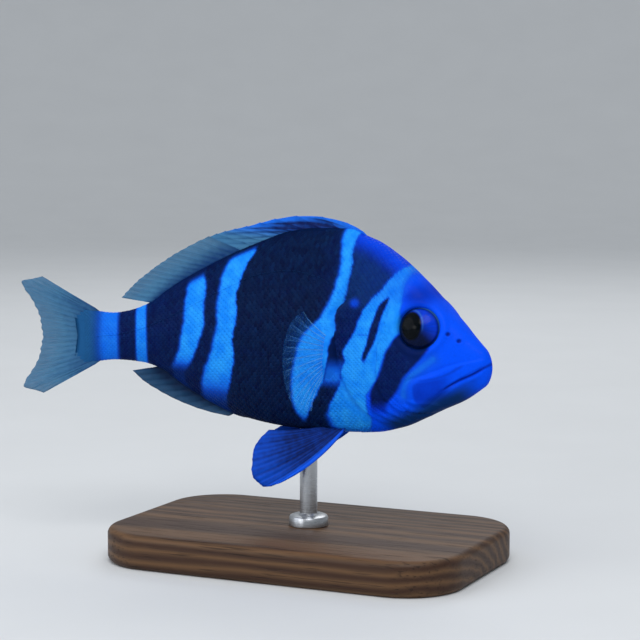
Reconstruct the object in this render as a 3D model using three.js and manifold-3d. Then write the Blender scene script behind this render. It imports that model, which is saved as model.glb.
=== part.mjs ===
// An indigo hamlet, a small Caribbean sea bass, as a life-size museum model on a display stand.
// Millimetres, +Z up. The origin is the middle of the underside of the stand's base, and the
// fish faces +X.
//
// The fish is drawn straight first. A station is a distance behind the snout tip, so a point's x
// is minus its station. Heights are measured from the level of the snout tip, and +Y is the
// fish's left. poseFish() then curves the body sideways and lifts it onto its rod.
import * as THREE from "three";
import { mergeVertices } from "three/addons/utils/BufferGeometryUtils.js";
import Module from "manifold-3d";

const wasm = await Module();
wasm.setup();

// Sizes that drive the rest

const STANDARD_LENGTH = 98; // snout tip to the root of the tail fin
const GAP = 0.3; // between neighbouring nodes
const LEFT = 1;
const RIGHT = -1;

// The sideways curve of the body: head and tail both swing towards the fish's right.
const HEAD_TURN = THREE.MathUtils.degToRad(7);
const WHOLE_TURN = THREE.MathUtils.degToRad(20);
const BEND_START = 24;
const BEND_END = 86;

// The stand
const BASE_LENGTH = 86;
const BASE_WIDTH = 54;
const BASE_THICK = 8;
const ROD_STATION = 46;
const ROD_RADIUS = 2;
const SNOUT_HEIGHT = 48;

// Outlines of the body: [station, value]

const BACK_HEIGHT = [
  [0, 1.7], [1.8, 3.35], [4.5, 5.8], [7.2, 8.5], [10.5, 11.5], [17, 17.5], [23.1, 22.45],
  [29.2, 25.9], [36, 27.6], [44, 27.5], [51, 26.5], [57, 24.4], [66, 20.6], [76.7, 15.0],
  [84, 10.4], [90, 8.0], [94, 7.4], [STANDARD_LENGTH, 7.8],
];
const BELLY_HEIGHT = [
  [0, -3.9], [2.5, -5.8], [6.5, -8.5], [11.8, -11.0], [16, -13.1], [21.3, -15.5], [28, -17.15],
  [36, -17.8], [44, -17.9], [52, -17.5], [60, -16.35], [67, -13.9], [74, -10.4], [81, -6.1],
  [87, -4.1], [93, -3.7], [STANDARD_LENGTH, -4.3],
];
const HALF_WIDTH = [
  [0, 1.2], [2, 2.2], [4.5, 3.4], [8, 4.8], [12, 5.9], [20, 7.1], [26, 7.9], [33, 8.4],
  [40, 8.6], [48, 8.3], [56, 7.6], [64, 6.5], [72, 5.2], [80, 3.9], [88, 2.8], [94, 2.2],
  [STANDARD_LENGTH, 1.8],
];
// How far up the section is widest, as a share of its height.
const WIDEST_SHARE = [[0, 0.5], [10, 0.42], [25, 0.42], [45, 0.48], [70, 0.5], [STANDARD_LENGTH, 0.5]];
// 2 is an ellipse, less is a sharper ridge.
const BACK_ROUNDNESS = [
  [0, 2.2], [9, 2.5], [15, 2.6], [22, 2.1], [30, 1.75], [50, 1.65], [STANDARD_LENGTH, 1.7],
];
const BELLY_ROUNDNESS = [[0, 2.2], [12, 2.1], [30, 2.0], [50, 1.9], [STANDARD_LENGTH, 1.8]];
const NOSE_ROUNDING = 1.6;
const NOSE_HEIGHT = -0.9;

// Lines on the side of the head: [station, height]

const GAPE = [[-1, 0.6], [0, 0], [3.4, -2.3], [6, -3.6], [8.3, -5.0], [9.9, -6.1], [13.2, -8.2]];
const JAW_PLATE = [[1.5, 0.3], [6, -1.6], [10.5, -4.2], [15.6, -7.0]];
const JAW_PLATE_HALF_HEIGHT = { front: 0.8, back: 2.8 };
const GILL_OPENING = [
  [22.5, 32], [24.5, 22], [27, 16.2], [31, 13.6], [34.2, 11.2], [35.3, 9.0], [34.9, 4], [33.8, -2],
  [31.5, -8], [27.5, -12.8], [21, -17], [18, -21],
];
const CHEEK_EDGE = [[22.2, 10], [24.0, 4], [24.6, -3], [23.4, -8.2], [19, -11.2], [13, -11.6]];
const TAIL_CUT = [[84.6, 16], [83.8, 8], [83.6, 2], [83.8, -4], [84.6, -12]];
const EYE = { station: 15, height: 7.4, halfLength: 4.85, halfHeight: 4.75, halfDepth: 2.7, bulge: 1.0 };
const NOSTRILS = [[8.7, 6.3], [6.4, 4.9]];
const PECTORAL_PAD = { station: 37, height: 0.3, halfLength: 2.6, halfHeight: 5.4 };

// Interpolation

// A smooth curve through [place, value] pairs, by cubic pieces that don't overshoot.
function smoothCurve(pairs) {
  const places = pairs.map((pair) => pair[0]);
  const values = pairs.map((pair) => pair[1]);
  const slopes = places.slice(1).map((place, i) => (values[i + 1] - values[i]) / (place - places[i]));
  const tangents = values.map((_, i) => {
    if (i === 0) return slopes[0];
    if (i === slopes.length) return slopes[i - 1];
    const [before, after] = [slopes[i - 1], slopes[i]];
    return before * after <= 0 ? 0 : (2 * before * after) / (before + after);
  });
  return (place) => {
    const at = THREE.MathUtils.clamp(place, places[0], places.at(-1));
    let i = 0;
    while (i < slopes.length - 1 && at > places[i + 1]) i += 1;
    const span = places[i + 1] - places[i];
    const t = (at - places[i]) / span;
    const inwards = 1 - t;
    return (
      values[i] * (1 + 2 * t) * inwards * inwards +
      values[i + 1] * t * t * (3 - 2 * t) +
      tangents[i] * span * t * inwards * inwards -
      tangents[i + 1] * span * t * t * inwards
    );
  };
}

// The nearest place on a line of points: how far off it is, on which side, and how far along.
function nearestOnLine(line, station, height) {
  let best = { distance: Infinity, side: 1, share: 0 };
  for (let i = 0; i < line.length - 1; i += 1) {
    const [fromStation, fromHeight] = line[i];
    const along = [line[i + 1][0] - fromStation, line[i + 1][1] - fromHeight];
    const off = [station - fromStation, height - fromHeight];
    const length = along[0] ** 2 + along[1] ** 2;
    const share = THREE.MathUtils.clamp((off[0] * along[0] + off[1] * along[1]) / length, 0, 1);
    const distance = Math.hypot(off[0] - share * along[0], off[1] - share * along[1]);
    if (distance < best.distance) {
      const side = Math.sign(along[0] * off[1] - along[1] * off[0]) || 1;
      best = { distance, side, share: (i + share) / (line.length - 1) };
    }
  }
  return best;
}

const swell = (distance, width) => Math.exp(-((distance / width) ** 2));
const ramp = (value, from, to) => THREE.MathUtils.smoothstep(value, from, to);

// Flesh: the body without its fins

const backHeight = smoothCurve(BACK_HEIGHT);
const bellyHeight = smoothCurve(BELLY_HEIGHT);
const halfWidth = smoothCurve(HALF_WIDTH);
const widestShare = smoothCurve(WIDEST_SHARE);
const backRoundness = smoothCurve(BACK_ROUNDNESS);
const bellyRoundness = smoothCurve(BELLY_ROUNDNESS);

const signedPower = (value, power) => Math.sign(value) * Math.abs(value) ** power;

// A point on the smooth body, at an angle round its section: 0 is the left side, 90 the back.
function smoothFlesh(station, angle, grow = 0) {
  const blunt = Math.min(station / NOSE_ROUNDING, 1);
  const nose = Math.sqrt(Math.max(1 - (1 - blunt) ** 2, 0));
  const top = NOSE_HEIGHT + (backHeight(station) - NOSE_HEIGHT) * nose + grow;
  const bottom = Math.min(NOSE_HEIGHT + (bellyHeight(station) - NOSE_HEIGHT) * nose - grow, top - 0.1);
  const middle = bottom + (top - bottom) * widestShare(station);
  const half = Math.max(halfWidth(station) * nose + grow, 0.1);
  const up = Math.sin(angle) >= 0;
  const power = 2 / (up ? backRoundness(station) : bellyRoundness(station));
  const reach = up ? top - middle : middle - bottom;
  return new THREE.Vector3(
    -station,
    half * signedPower(Math.cos(angle), power),
    middle + reach * signedPower(Math.sin(angle), power),
  );
}

// How far lips, jaw plates, eye rims, cheek, gill cover and fin pads stand out of the smooth body.
function headRelief(station, height) {
  const gape = nearestOnLine(GAPE, station, height);
  const lips = 0.45 * swell(gape.distance - 1, 0.8) * (1 - ramp(station, 8, 13));
  const plateAt = nearestOnLine(JAW_PLATE, station, height);
  const { front, back } = JAW_PLATE_HALF_HEIGHT;
  const plateHalf = THREE.MathUtils.lerp(front, back, plateAt.share);
  const plate = 0.5 * (1 - ramp(plateAt.distance / plateHalf, 0.65, 1.2));
  const mouth = Math.max(lips, plate) * ramp(station, 0.5, 3);
  const fromEye = Math.hypot(station - EYE.station, height - EYE.height);
  const eyeRim = 0.4 * swell(fromEye - EYE.halfLength - 0.7, 0.9);
  const cheek = nearestOnLine(CHEEK_EDGE, station, height);
  const cheekStep = cheek.side < 0 ? 0.4 * swell(cheek.distance, 2.2) : -0.2 * swell(cheek.distance, 1);
  const gill = nearestOnLine(GILL_OPENING, station, height);
  const gillStep = gill.side < 0 ? 0.55 * swell(gill.distance, 3.5) : -0.25 * swell(gill.distance, 1.6);
  const gillFade = ramp(height, -16, -11) * (1 - ramp(height, 10, 15));
  const pad = PECTORAL_PAD;
  const padSpread = [(station - pad.station) / pad.halfLength, (height - pad.height) / pad.halfHeight];
  const fromPad = Math.hypot(...padSpread);
  const padRise = 0.7 * (1 - ramp(fromPad, 0.4, 1.1)) * (gill.side < 0 ? 0 : 1);
  return mouth + eyeRim + cheekStep + gillStep * gillFade + padRise;
}

function fleshPoint(station, angle, grow = 0) {
  const step = 0.02;
  const point = smoothFlesh(station, angle, grow);
  if (station < 0.3 || station > 45) return point;
  const ahead = smoothFlesh(station + step, angle).sub(smoothFlesh(station, angle));
  const round = smoothFlesh(station, angle + step).sub(smoothFlesh(station, angle - step));
  const outward = ahead.cross(round).normalize();
  const onSide = ramp(Math.abs(point.y) / halfWidth(station), 0.2, 0.6);
  return point.addScaledVector(outward, headRelief(station, point.z) * onSide);
}

// The stations of the rings: close together on the head, wider on the trunk.
function ringStations() {
  const stations = [0.12, 0.45, 1.0];
  let station = 1.7;
  while (station < STANDARD_LENGTH - 1) {
    stations.push(station);
    station += station < 37 ? 1.05 : 3;
  }
  return [...stations, STANDARD_LENGTH];
}

// A closed skin of rings from the snout to the root of the tail fin.
function fleshGeometry(grow, pointAt = fleshPoint) {
  const around = 44;
  const stations = ringStations();
  const stretched = stations.map((station) => ({
    station,
    shift: station > 1 ? 0 : (1 - station) * grow,
  }));
  const points = [new THREE.Vector3(grow, 0, NOSE_HEIGHT)];
  for (const { station, shift } of stretched) {
    for (let i = 0; i < around; i += 1) {
      const point = pointAt(station, (i / around) * 2 * Math.PI, grow);
      point.x += shift;
      if (station === STANDARD_LENGTH) point.x -= grow;
      points.push(point);
    }
  }
  const middle = (backHeight(STANDARD_LENGTH) + bellyHeight(STANDARD_LENGTH)) / 2;
  points.push(new THREE.Vector3(-STANDARD_LENGTH - grow, 0, middle));
  const faces = [];
  const last = points.length - 1;
  for (let i = 0; i < around; i += 1) {
    const next = (i + 1) % around;
    faces.push(0, 1 + i, 1 + next);
    for (let ring = 0; ring < stations.length - 1; ring += 1) {
      const here = 1 + ring * around;
      const there = here + around;
      faces.push(here + i, there + i, here + next, here + next, there + i, there + next);
    }
    const end = last - around;
    faces.push(last, end + next, end + i);
  }
  return indexedGeometry(points, faces);
}

function indexedGeometry(points, faces) {
  const geometry = new THREE.BufferGeometry().setFromPoints(points);
  geometry.setIndex(faces);
  return geometry;
}

// Solids

function toSolid(geometry) {
  const bare = geometry.clone();
  bare.deleteAttribute("normal");
  bare.deleteAttribute("uv");
  const merged = mergeVertices(bare, 1e-4);
  return new wasm.Manifold(
    new wasm.Mesh({
      numProp: 3,
      vertProperties: new Float32Array(merged.attributes.position.array),
      triVerts: new Uint32Array(merged.index.array),
    }),
  );
}

function toGeometry(solid) {
  const mesh = solid.getMesh();
  const positions = new Float32Array(mesh.numVert * 3);
  for (let i = 0; i < mesh.numVert; i += 1) {
    const start = i * mesh.numProp;
    positions.set(mesh.vertProperties.subarray(start, start + 3), i * 3);
  }
  const geometry = new THREE.BufferGeometry();
  geometry.setAttribute("position", new THREE.BufferAttribute(positions, 3));
  geometry.setIndex(new THREE.BufferAttribute(mesh.triVerts, 1));
  return geometry;
}

const byVolume = (a, b) => b.volume() - a.volume();
const largestBody = (solid) => solid.decompose().sort(byVolume)[0];

// A blade that follows a [station, height] line and cuts right across the body.
function blade(line, thick) {
  const half = thick / 2;
  const curve = new THREE.SplineCurve(line.map(([station, height]) => new THREE.Vector2(-station, height)));
  const steps = (line.length - 1) * 3;
  const edge = (side) =>
    Array.from({ length: steps + 1 }, (_, i) => {
      const along = curve.getTangent(i / steps);
      return curve.getPoint(i / steps).add(new THREE.Vector2(-along.y, along.x).multiplyScalar(side * half));
    });
  const outline = new THREE.Shape([...edge(1), ...edge(-1).reverse()]);
  const reach = 40;
  const geometry = new THREE.ExtrudeGeometry(outline, { depth: reach, bevelEnabled: false });
  geometry.rotateX(Math.PI / 2);
  geometry.translate(0, reach / 2, 0);
  return toSolid(geometry);
}

// The outward direction of the side of the head at a station and height.
function sideFrame(station, height, side) {
  const angle = angleAt(station, height);
  const ahead = smoothFlesh(station + 0.1, angle).sub(smoothFlesh(station - 0.1, angle));
  const round = smoothFlesh(station, angle + 0.02).sub(smoothFlesh(station, angle - 0.02));
  const outward = ahead.cross(round).normalize();
  const point = smoothFlesh(station, angle);
  return {
    point: new THREE.Vector3(point.x, side * point.y, point.z),
    outward: new THREE.Vector3(outward.x, side * outward.y, outward.z),
  };
}

// The angle round the section where the left side has this height.
function angleAt(station, height) {
  let low = -Math.PI / 2;
  let high = Math.PI / 2;
  for (let i = 0; i < 30; i += 1) {
    const middle = (low + high) / 2;
    if (smoothFlesh(station, middle).z < height) low = middle;
    else high = middle;
  }
  return low;
}

// Eyes: a flattened ball set in a cup of the head.
function eyeGeometry(side, grow = 0) {
  const { point, outward } = sideFrame(EYE.station, EYE.height, side);
  const geometry = new THREE.SphereGeometry(1, 20, 12);
  geometry.rotateX(-Math.PI / 2);
  geometry.scale(EYE.halfLength + grow, EYE.halfHeight + grow, EYE.halfDepth + grow);
  const facing = new THREE.Matrix4().lookAt(outward, new THREE.Vector3(), new THREE.Vector3(0, 0, 1));
  geometry.applyMatrix4(facing);
  const centre = point.addScaledVector(outward, EYE.bulge - EYE.halfDepth);
  geometry.translate(centre.x, centre.y, centre.z);
  return geometry;
}

// Nostrils: two shallow round pits ahead of each eye.
function nostrilGeometry(station, height, side) {
  const { point, outward } = sideFrame(station, height, side);
  const radius = 0.45;
  const depth = 1.6;
  const geometry = new THREE.CylinderGeometry(radius, radius, depth, 8);
  geometry.applyQuaternion(new THREE.Quaternion().setFromUnitVectors(new THREE.Vector3(0, 1, 0), outward));
  geometry.translate(point.x, point.y, point.z);
  return geometry;
}

// The whole body, cut at the gill openings and in front of the tail stalk.
function bodySolids() {
  let whole = toSolid(fleshGeometry(0));
  const mouthDepth = 0.8;
  const mouthCut = blade(GAPE, 0.45).subtract(toSolid(fleshGeometry(-mouthDepth, smoothFlesh)));
  whole = whole.subtract(mouthCut);
  for (const side of [LEFT, RIGHT]) {
    whole = whole.subtract(toSolid(eyeGeometry(side, GAP)));
    for (const [station, height] of NOSTRILS) {
      whole = whole.subtract(toSolid(nostrilGeometry(station, height, side)));
    }
  }
  const parted = whole.subtract(blade(GILL_OPENING, GAP)).subtract(blade(TAIL_CUT, GAP));
  const pieces = parted.decompose().sort(byVolume).slice(0, 3);
  const front = (solid) => solid.boundingBox().max[0];
  const [head, torso, tail] = pieces.sort((a, b) => front(b) - front(a));
  return { head, torso, tail };
}

// Fins

const at = (station, side, height) => new THREE.Vector3(-station, side, height);

// A fin is a plate: a ridge along every ray, thinner skin between them. Each ray is
// { root, tip, bow }, and its line is pushed out by bow halfway along.
function finGeometry(rays, { rayThick = 1.0, tipThick = 0.6, skinThick = 0.55, rows = 5, notch = 0.04 }) {
  const columns = [];
  rays.forEach((ray, i) => {
    columns.push({ ...ray, isRay: true });
    if (i === rays.length - 1) return;
    const next = rays[i + 1];
    const root = ray.root.clone().lerp(next.root, 0.5);
    const tip = ray.tip.clone().lerp(next.tip, 0.5).lerp(root, notch);
    const bow = (ray.bow ?? at(0, 0, 0)).clone().lerp(next.bow ?? at(0, 0, 0), 0.5);
    columns.push({ root, tip, bow, isRay: false });
  });
  const place = (column, share) => {
    const point = column.root.clone().lerp(column.tip, share);
    return column.bow ? point.addScaledVector(column.bow, 4 * share * (1 - share)) : point;
  };
  const grid = columns.map((column) =>
    Array.from({ length: rows + 1 }, (_, row) => place(column, row / rows)),
  );
  const lastColumn = grid.length - 1;
  const normalAt = (c, r) => {
    const across = grid[Math.min(c + 1, lastColumn)][r].clone().sub(grid[Math.max(c - 1, 0)][r]);
    const along = grid[c][Math.min(r + 1, rows)].clone().sub(grid[c][Math.max(r - 1, 0)]);
    return across.cross(along).normalize();
  };
  const points = [];
  for (const side of [1, -1]) {
    grid.forEach((column, c) =>
      column.forEach((point, r) => {
        const rayHalf = THREE.MathUtils.lerp(rayThick, tipThick, r / rows) / 2;
        const half = columns[c].isRay ? rayHalf : skinThick / 2;
        points.push(point.clone().addScaledVector(normalAt(c, r), side * half));
      }),
    );
  }
  const perSide = grid.length * (rows + 1);
  const index = (c, r, back) => c * (rows + 1) + r + (back ? perSide : 0);
  const faces = [];
  const quad = (a, b, c, d) => faces.push(a, b, c, a, c, d);
  const backQuad = (a, b, c, d) => faces.push(a, c, b, a, d, c);
  for (let c = 0; c < lastColumn; c += 1) {
    for (let r = 0; r < rows; r += 1) {
      const corners = [[c, r], [c + 1, r], [c + 1, r + 1], [c, r + 1]];
      quad(...corners.map(([column, row]) => index(column, row)));
      backQuad(...corners.map(([column, row]) => index(column, row, true)));
    }
    quad(index(c, 0), index(c, 0, true), index(c + 1, 0, true), index(c + 1, 0));
    quad(index(c + 1, rows), index(c + 1, rows, true), index(c, rows, true), index(c, rows));
  }
  const end = lastColumn;
  for (let r = 0; r < rows; r += 1) {
    quad(index(0, r + 1), index(0, r + 1, true), index(0, r, true), index(0, r));
    quad(index(end, r), index(end, r, true), index(end, r + 1, true), index(end, r + 1));
  }
  return indexedGeometry(points, faces);
}

const ROOT_DEPTH = 1.6; // how deep a fin's rays start under the back or belly, before the cut

// Rays whose roots stand evenly along the back or the belly.
function edgeRays(count, firstRoot, lastRoot, edgeHeight, inwards, tips) {
  const tipStation = smoothCurve(tips.map(([share, station]) => [share, station]));
  const tipHeight = smoothCurve(tips.map(([share, , height]) => [share, height]));
  return Array.from({ length: count }, (_, i) => {
    const share = i / (count - 1);
    const station = THREE.MathUtils.lerp(firstRoot, lastRoot, share);
    return {
      root: at(station, 0, edgeHeight(station) + inwards * ROOT_DEPTH),
      tip: at(tipStation(share), 0, tipHeight(share)),
    };
  });
}

const DORSAL_SPLIT = 60; // where the last spine and the first soft ray stand
const LAST_SPINE_TIP = [70.9, 25.6];

// Ten spines, folded back so that each leans over the next.
function spinyDorsalRays() {
  const tips = [[0, 36.2, 29.3], [0.11, 42.6, 30.6], [0.22, 49.2, 30.7], [0.33, 54.5, 29.9],
    [0.56, 61.8, 28.0], [0.78, 67, 26.8], [1, ...LAST_SPINE_TIP]];
  return edgeRays(10, 32.6, DORSAL_SPLIT, backHeight, -1, tips);
}

function softDorsalRays() {
  const [station, height] = LAST_SPINE_TIP;
  const tips = [[0, station + 0.5, height - GAP], [0.2, 77.2, 22.4], [0.4, 81.8, 19.6], [0.6, 85.6, 16.9],
    [0.8, 89.2, 13.9], [1, 92, 10.9]];
  return edgeRays(15, DORSAL_SPLIT + 2.6 * GAP, 82.5, backHeight, -1, tips);
}

// Three spines, then seven soft rays, half folded.
function analRays() {
  const tips = [[0, 66, -16.0], [0.11, 69.8, -15.4], [0.25, 74.4, -14.3], [0.5, 81.1, -11.7],
    [0.75, 86.4, -8.8], [1, 89.5, -6.2]];
  return edgeRays(10, 62.5, 80.5, bellyHeight, 1, tips);
}

// Seventeen rays fanned from the end of the tail stalk, the outer ones longest.
function caudalRays() {
  const count = 17;
  const middleHeight = (backHeight(STANDARD_LENGTH) + bellyHeight(STANDARD_LENGTH)) / 2;
  const rootHalf = (backHeight(STANDARD_LENGTH) - bellyHeight(STANDARD_LENGTH)) / 2 - 0.4;
  const tipStation = smoothCurve([
    [0, 111.6], [0.35, 112.4], [0.65, 114.6], [0.85, 116.6], [0.93, 115.6], [1, 111.5],
  ]);
  const tipRise = smoothCurve([[0, 0], [0.35, 4.6], [0.65, 9.0], [0.85, 12.2], [0.93, 13.6], [1, 13.9]]);
  return Array.from({ length: count }, (_, i) => {
    const share = (2 * i) / (count - 1) - 1;
    const spread = Math.abs(share);
    return {
      root: at(STANDARD_LENGTH - 1, 0, middleHeight - share * rootHalf),
      tip: at(tipStation(spread), 0, middleHeight - Math.sign(share) * tipRise(spread)),
    };
  });
}

// A side fin: thirteen rays that fan from a short upright root and stand out from the body.
function pectoralRays(side) {
  const count = 13;
  const out = THREE.MathUtils.degToRad(84);
  const lengths = smoothCurve([[0, 12], [0.2, 16.5], [0.4, 17.5], [0.65, 16], [0.85, 12.5], [1, 9]]);
  const rise = smoothCurve([[0, 33], [0.35, 5], [0.7, -25], [1, -52]]);
  return Array.from({ length: count }, (_, i) => {
    const share = i / (count - 1);
    const station = THREE.MathUtils.lerp(36.6, 37.8, share);
    const height = THREE.MathUtils.lerp(3.8, -3.4, share);
    const surface = smoothFlesh(station, angleAt(station, height));
    const climb = THREE.MathUtils.degToRad(rise(share));
    const direction = new THREE.Vector3(
      -Math.cos(out) * Math.cos(climb),
      side * Math.sin(out) * Math.cos(climb),
      Math.sin(climb),
    );
    const root = at(station, side * (surface.y - 1.6), height);
    const tip = root.clone().addScaledVector(direction, lengths(share) + 1.6);
    return { root, tip, bow: at(-1.1, 0, 0) };
  });
}

// A belly fin: one spine and five rays, held back under the belly. The right one is spread, and
// the left one is half folded.
function pelvicRays(side) {
  const count = 6;
  const lengths = smoothCurve([[0, 20.7], [0.2, 24.2], [0.4, 25.2], [0.6, 23.9], [0.8, 22], [1, 18.2]]);
  const drops = smoothCurve([[0, 42], [0.2, 37.8], [0.4, 30.5], [0.6, 22.5], [0.8, 14.5], [1, 7]]);
  const splays = smoothCurve([[0, 12], [0.4, 12], [1, 8]]);
  const [openness, leastDrop] = side === RIGHT ? [1, 0] : [0.6, 3];
  return Array.from({ length: count }, (_, i) => {
    const share = i / (count - 1);
    const root = at(33.7 + 2.8 * share, side * (2.4 - share), -15.8);
    const drop = THREE.MathUtils.degToRad(leastDrop + drops(share) * openness);
    const splay = THREE.MathUtils.degToRad(splays(share) * openness);
    const direction = new THREE.Vector3(
      -Math.cos(drop) * Math.cos(splay),
      side * Math.sin(splay),
      -Math.sin(drop) * Math.cos(splay),
    );
    const tip = root.clone().addScaledVector(direction, lengths(share));
    const forward = 1 - share;
    return { root, tip, bow: at(-0.9 * forward, side * 0.5, -0.4 - 0.7 * forward) };
  });
}

// Pose: the straight fish is curved sideways and set on the stand.

// Where the middle of the body passes at a station, and which way it faces there.
function midline(station) {
  const perLength = WHOLE_TURN / (BEND_END - BEND_START);
  const turn = HEAD_TURN - perLength * (THREE.MathUtils.clamp(station, BEND_START, BEND_END) - BEND_START);
  const ahead = Math.min(station, BEND_START);
  const behind = Math.max(station - BEND_END, 0);
  const arcBack = (Math.sin(turn) - Math.sin(HEAD_TURN)) / perLength;
  const arcAcross = (Math.cos(turn) - Math.cos(HEAD_TURN)) / perLength;
  return {
    x: arcBack - ahead * Math.cos(HEAD_TURN) - behind * Math.cos(turn),
    y: arcAcross + ahead * Math.sin(HEAD_TURN) + behind * Math.sin(turn),
    turn,
  };
}

const ROD_PLACE = midline(ROD_STATION);

function poseFish(geometry) {
  const posed = geometry.clone();
  const position = posed.getAttribute("position");
  for (let i = 0; i < position.count; i += 1) {
    const { x, y, turn } = midline(-position.getX(i));
    const offset = position.getY(i);
    position.setXYZ(
      i,
      x - ROD_PLACE.x + offset * Math.sin(turn),
      y - ROD_PLACE.y + offset * Math.cos(turn),
      position.getZ(i) + SNOUT_HEIGHT,
    );
  }
  return posed;
}

// Stand

function baseGeometry() {
  const round = 12;
  const bevel = 1.6;
  const halfLength = BASE_LENGTH / 2 - bevel - round;
  const halfWidthInside = BASE_WIDTH / 2 - bevel - round;
  const outline = new THREE.Shape();
  outline.absarc(halfLength, halfWidthInside, round, 0, Math.PI / 2);
  outline.absarc(-halfLength, halfWidthInside, round, Math.PI / 2, Math.PI);
  outline.absarc(-halfLength, -halfWidthInside, round, Math.PI, 1.5 * Math.PI);
  outline.absarc(halfLength, -halfWidthInside, round, 1.5 * Math.PI, 2 * Math.PI);
  const geometry = new THREE.ExtrudeGeometry(outline, {
    depth: BASE_THICK - 2 * bevel,
    bevelThickness: bevel,
    bevelSize: bevel,
    bevelSegments: 2,
    curveSegments: 7,
  });
  geometry.translate(0, 0, bevel);
  return geometry;
}

// The rod stands on the base and ends just under the belly, cut to its shape.
function rodSolid(bellyWithGap) {
  const collarRadius = 4.5;
  const collarThick = 2.5;
  const bottom = BASE_THICK + GAP;
  const top = SNOUT_HEIGHT - 12;
  const chamfer = 0.8;
  const collarTop = bottom + collarThick;
  const profile = [
    [0, bottom], [collarRadius, bottom], [collarRadius, collarTop - chamfer],
    [collarRadius - chamfer, collarTop], [ROD_RADIUS, collarTop], [ROD_RADIUS, top], [0, top],
  ].map(([radius, height]) => new THREE.Vector2(radius, height));
  const geometry = new THREE.LatheGeometry(profile, 24);
  geometry.rotateX(Math.PI / 2);
  return largestBody(toSolid(geometry).subtract(bellyWithGap));
}

// Assembly

const model = new THREE.Group();

function addNode(name, geometry, colour, roughness, metalness = 0) {
  const material = new THREE.MeshStandardMaterial({ color: colour, roughness, metalness });
  const mesh = new THREE.Mesh(geometry, material);
  mesh.name = name;
  model.add(mesh);
}

const BODY_BLUE = "#0b3fd0";
const BODY_NAVY = "#061536";
const FIN_BLUE = "#0a2f9a";
const CLEAR_FIN = "#5d7f9c";

const straightFlesh = toSolid(fleshGeometry(GAP));
const addFin = (name, rays, sizes, colour) => {
  const fin = largestBody(toSolid(finGeometry(rays, sizes)).subtract(straightFlesh));
  addNode(name, poseFish(toGeometry(fin)), colour, 0.4);
};

const { head, torso, tail } = bodySolids();
addNode("head", poseFish(toGeometry(head)), BODY_BLUE, 0.35);
addNode("torso", poseFish(toGeometry(torso)), BODY_NAVY, 0.35);
addNode("tail_stalk", poseFish(toGeometry(tail)), BODY_NAVY, 0.35);
addFin("dorsal_fin_spiny", spinyDorsalRays(), { notch: 0.1 }, FIN_BLUE);
addFin("dorsal_fin_soft", softDorsalRays(), {}, CLEAR_FIN);
addFin("anal_fin", analRays(), {}, CLEAR_FIN);
addFin("tail_fin", caudalRays(), { rows: 7 }, CLEAR_FIN);
for (const [word, side] of [["left", LEFT], ["right", RIGHT]]) {
  addNode(`eye_${word}`, poseFish(eyeGeometry(side)), "#0a1020", 0.08);
  addFin(`pectoral_fin_${word}`, pectoralRays(side), { rows: 6 }, CLEAR_FIN);
  addFin(`pelvic_fin_${word}`, pelvicRays(side), { rows: 7, rayThick: 1.2 }, FIN_BLUE);
}
addNode("stand_base", baseGeometry(), "#3a2518", 0.5);
addNode("stand_rod", toGeometry(rodSolid(toSolid(poseFish(fleshGeometry(GAP))))), "#b8bcc2", 0.3, 1);

export default model;
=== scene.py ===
import math

import bmesh
import bpy
import numpy as np
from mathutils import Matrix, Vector


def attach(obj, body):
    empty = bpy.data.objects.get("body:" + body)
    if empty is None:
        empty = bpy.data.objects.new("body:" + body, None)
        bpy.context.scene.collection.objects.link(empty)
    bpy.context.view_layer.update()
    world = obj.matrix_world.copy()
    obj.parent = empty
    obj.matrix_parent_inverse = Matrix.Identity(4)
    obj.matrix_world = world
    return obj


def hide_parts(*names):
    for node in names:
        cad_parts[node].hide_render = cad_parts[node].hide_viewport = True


# Looks of a life-size indigo hamlet, a small Caribbean sea bass, on its display stand.
#
# The fish is worked out straight, in millimetres: a station is a distance behind the snout tip, so
# a point's x is minus its station, +Y is the fish's left, and heights are from the level of the
# snout tip. posed() then curves the body sideways, lifts it onto its rod and turns it to metres.

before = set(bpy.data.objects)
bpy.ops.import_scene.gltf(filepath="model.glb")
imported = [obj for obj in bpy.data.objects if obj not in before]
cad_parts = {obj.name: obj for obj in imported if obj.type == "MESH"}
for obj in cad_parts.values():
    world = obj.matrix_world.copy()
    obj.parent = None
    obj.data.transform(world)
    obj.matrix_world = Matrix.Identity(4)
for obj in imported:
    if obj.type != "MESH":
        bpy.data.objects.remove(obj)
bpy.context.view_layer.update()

MM = 0.001
LEFT = 1
RIGHT = -1
SIDES = (("left", LEFT), ("right", RIGHT))
RANDOM = np.random.default_rng(7)


def linked(name, data):
    """An object in the scene with this mesh, camera or light."""
    item = bpy.data.objects.new(name, data)
    bpy.context.scene.collection.objects.link(item)
    return item


# Camera: 25 degrees ahead of the fish's right side and 6 degrees above it

VIEW_AZIMUTH = math.radians(25)
VIEW_ELEVATION = math.radians(6)
VIEW_DISTANCE = 450
VIEW_TARGET = (3.46, -1.28, 55.35)
VIEW_LENS = 112.6


def make_camera():
    lens = bpy.data.cameras.new("camera")
    lens.lens = VIEW_LENS
    lens.sensor_width = 36
    lens.clip_start = 0.01
    camera = linked("camera", lens)
    level = math.cos(VIEW_ELEVATION)
    back = Vector((
        math.sin(VIEW_AZIMUTH) * level,
        -math.cos(VIEW_AZIMUTH) * level,
        math.sin(VIEW_ELEVATION),
    ))
    camera.location = (Vector(VIEW_TARGET) + back * VIEW_DISTANCE) * MM
    camera.rotation_euler = back.to_track_quat("Z", "Y").to_euler()
    bpy.context.scene.camera = camera


make_camera()

# Interpolation


def ramp(value, start, end):
    """0 up to start, 1 from end, smooth between."""
    t = np.clip((value - start) / (end - start), 0, 1)
    return t * t * (3 - 2 * t)


def window(value, start, full, fading, end):
    """0 up to start, 1 from full to fading, 0 from end, smooth between."""
    return ramp(value, start, full) * (1 - ramp(value, fading, end))


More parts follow.
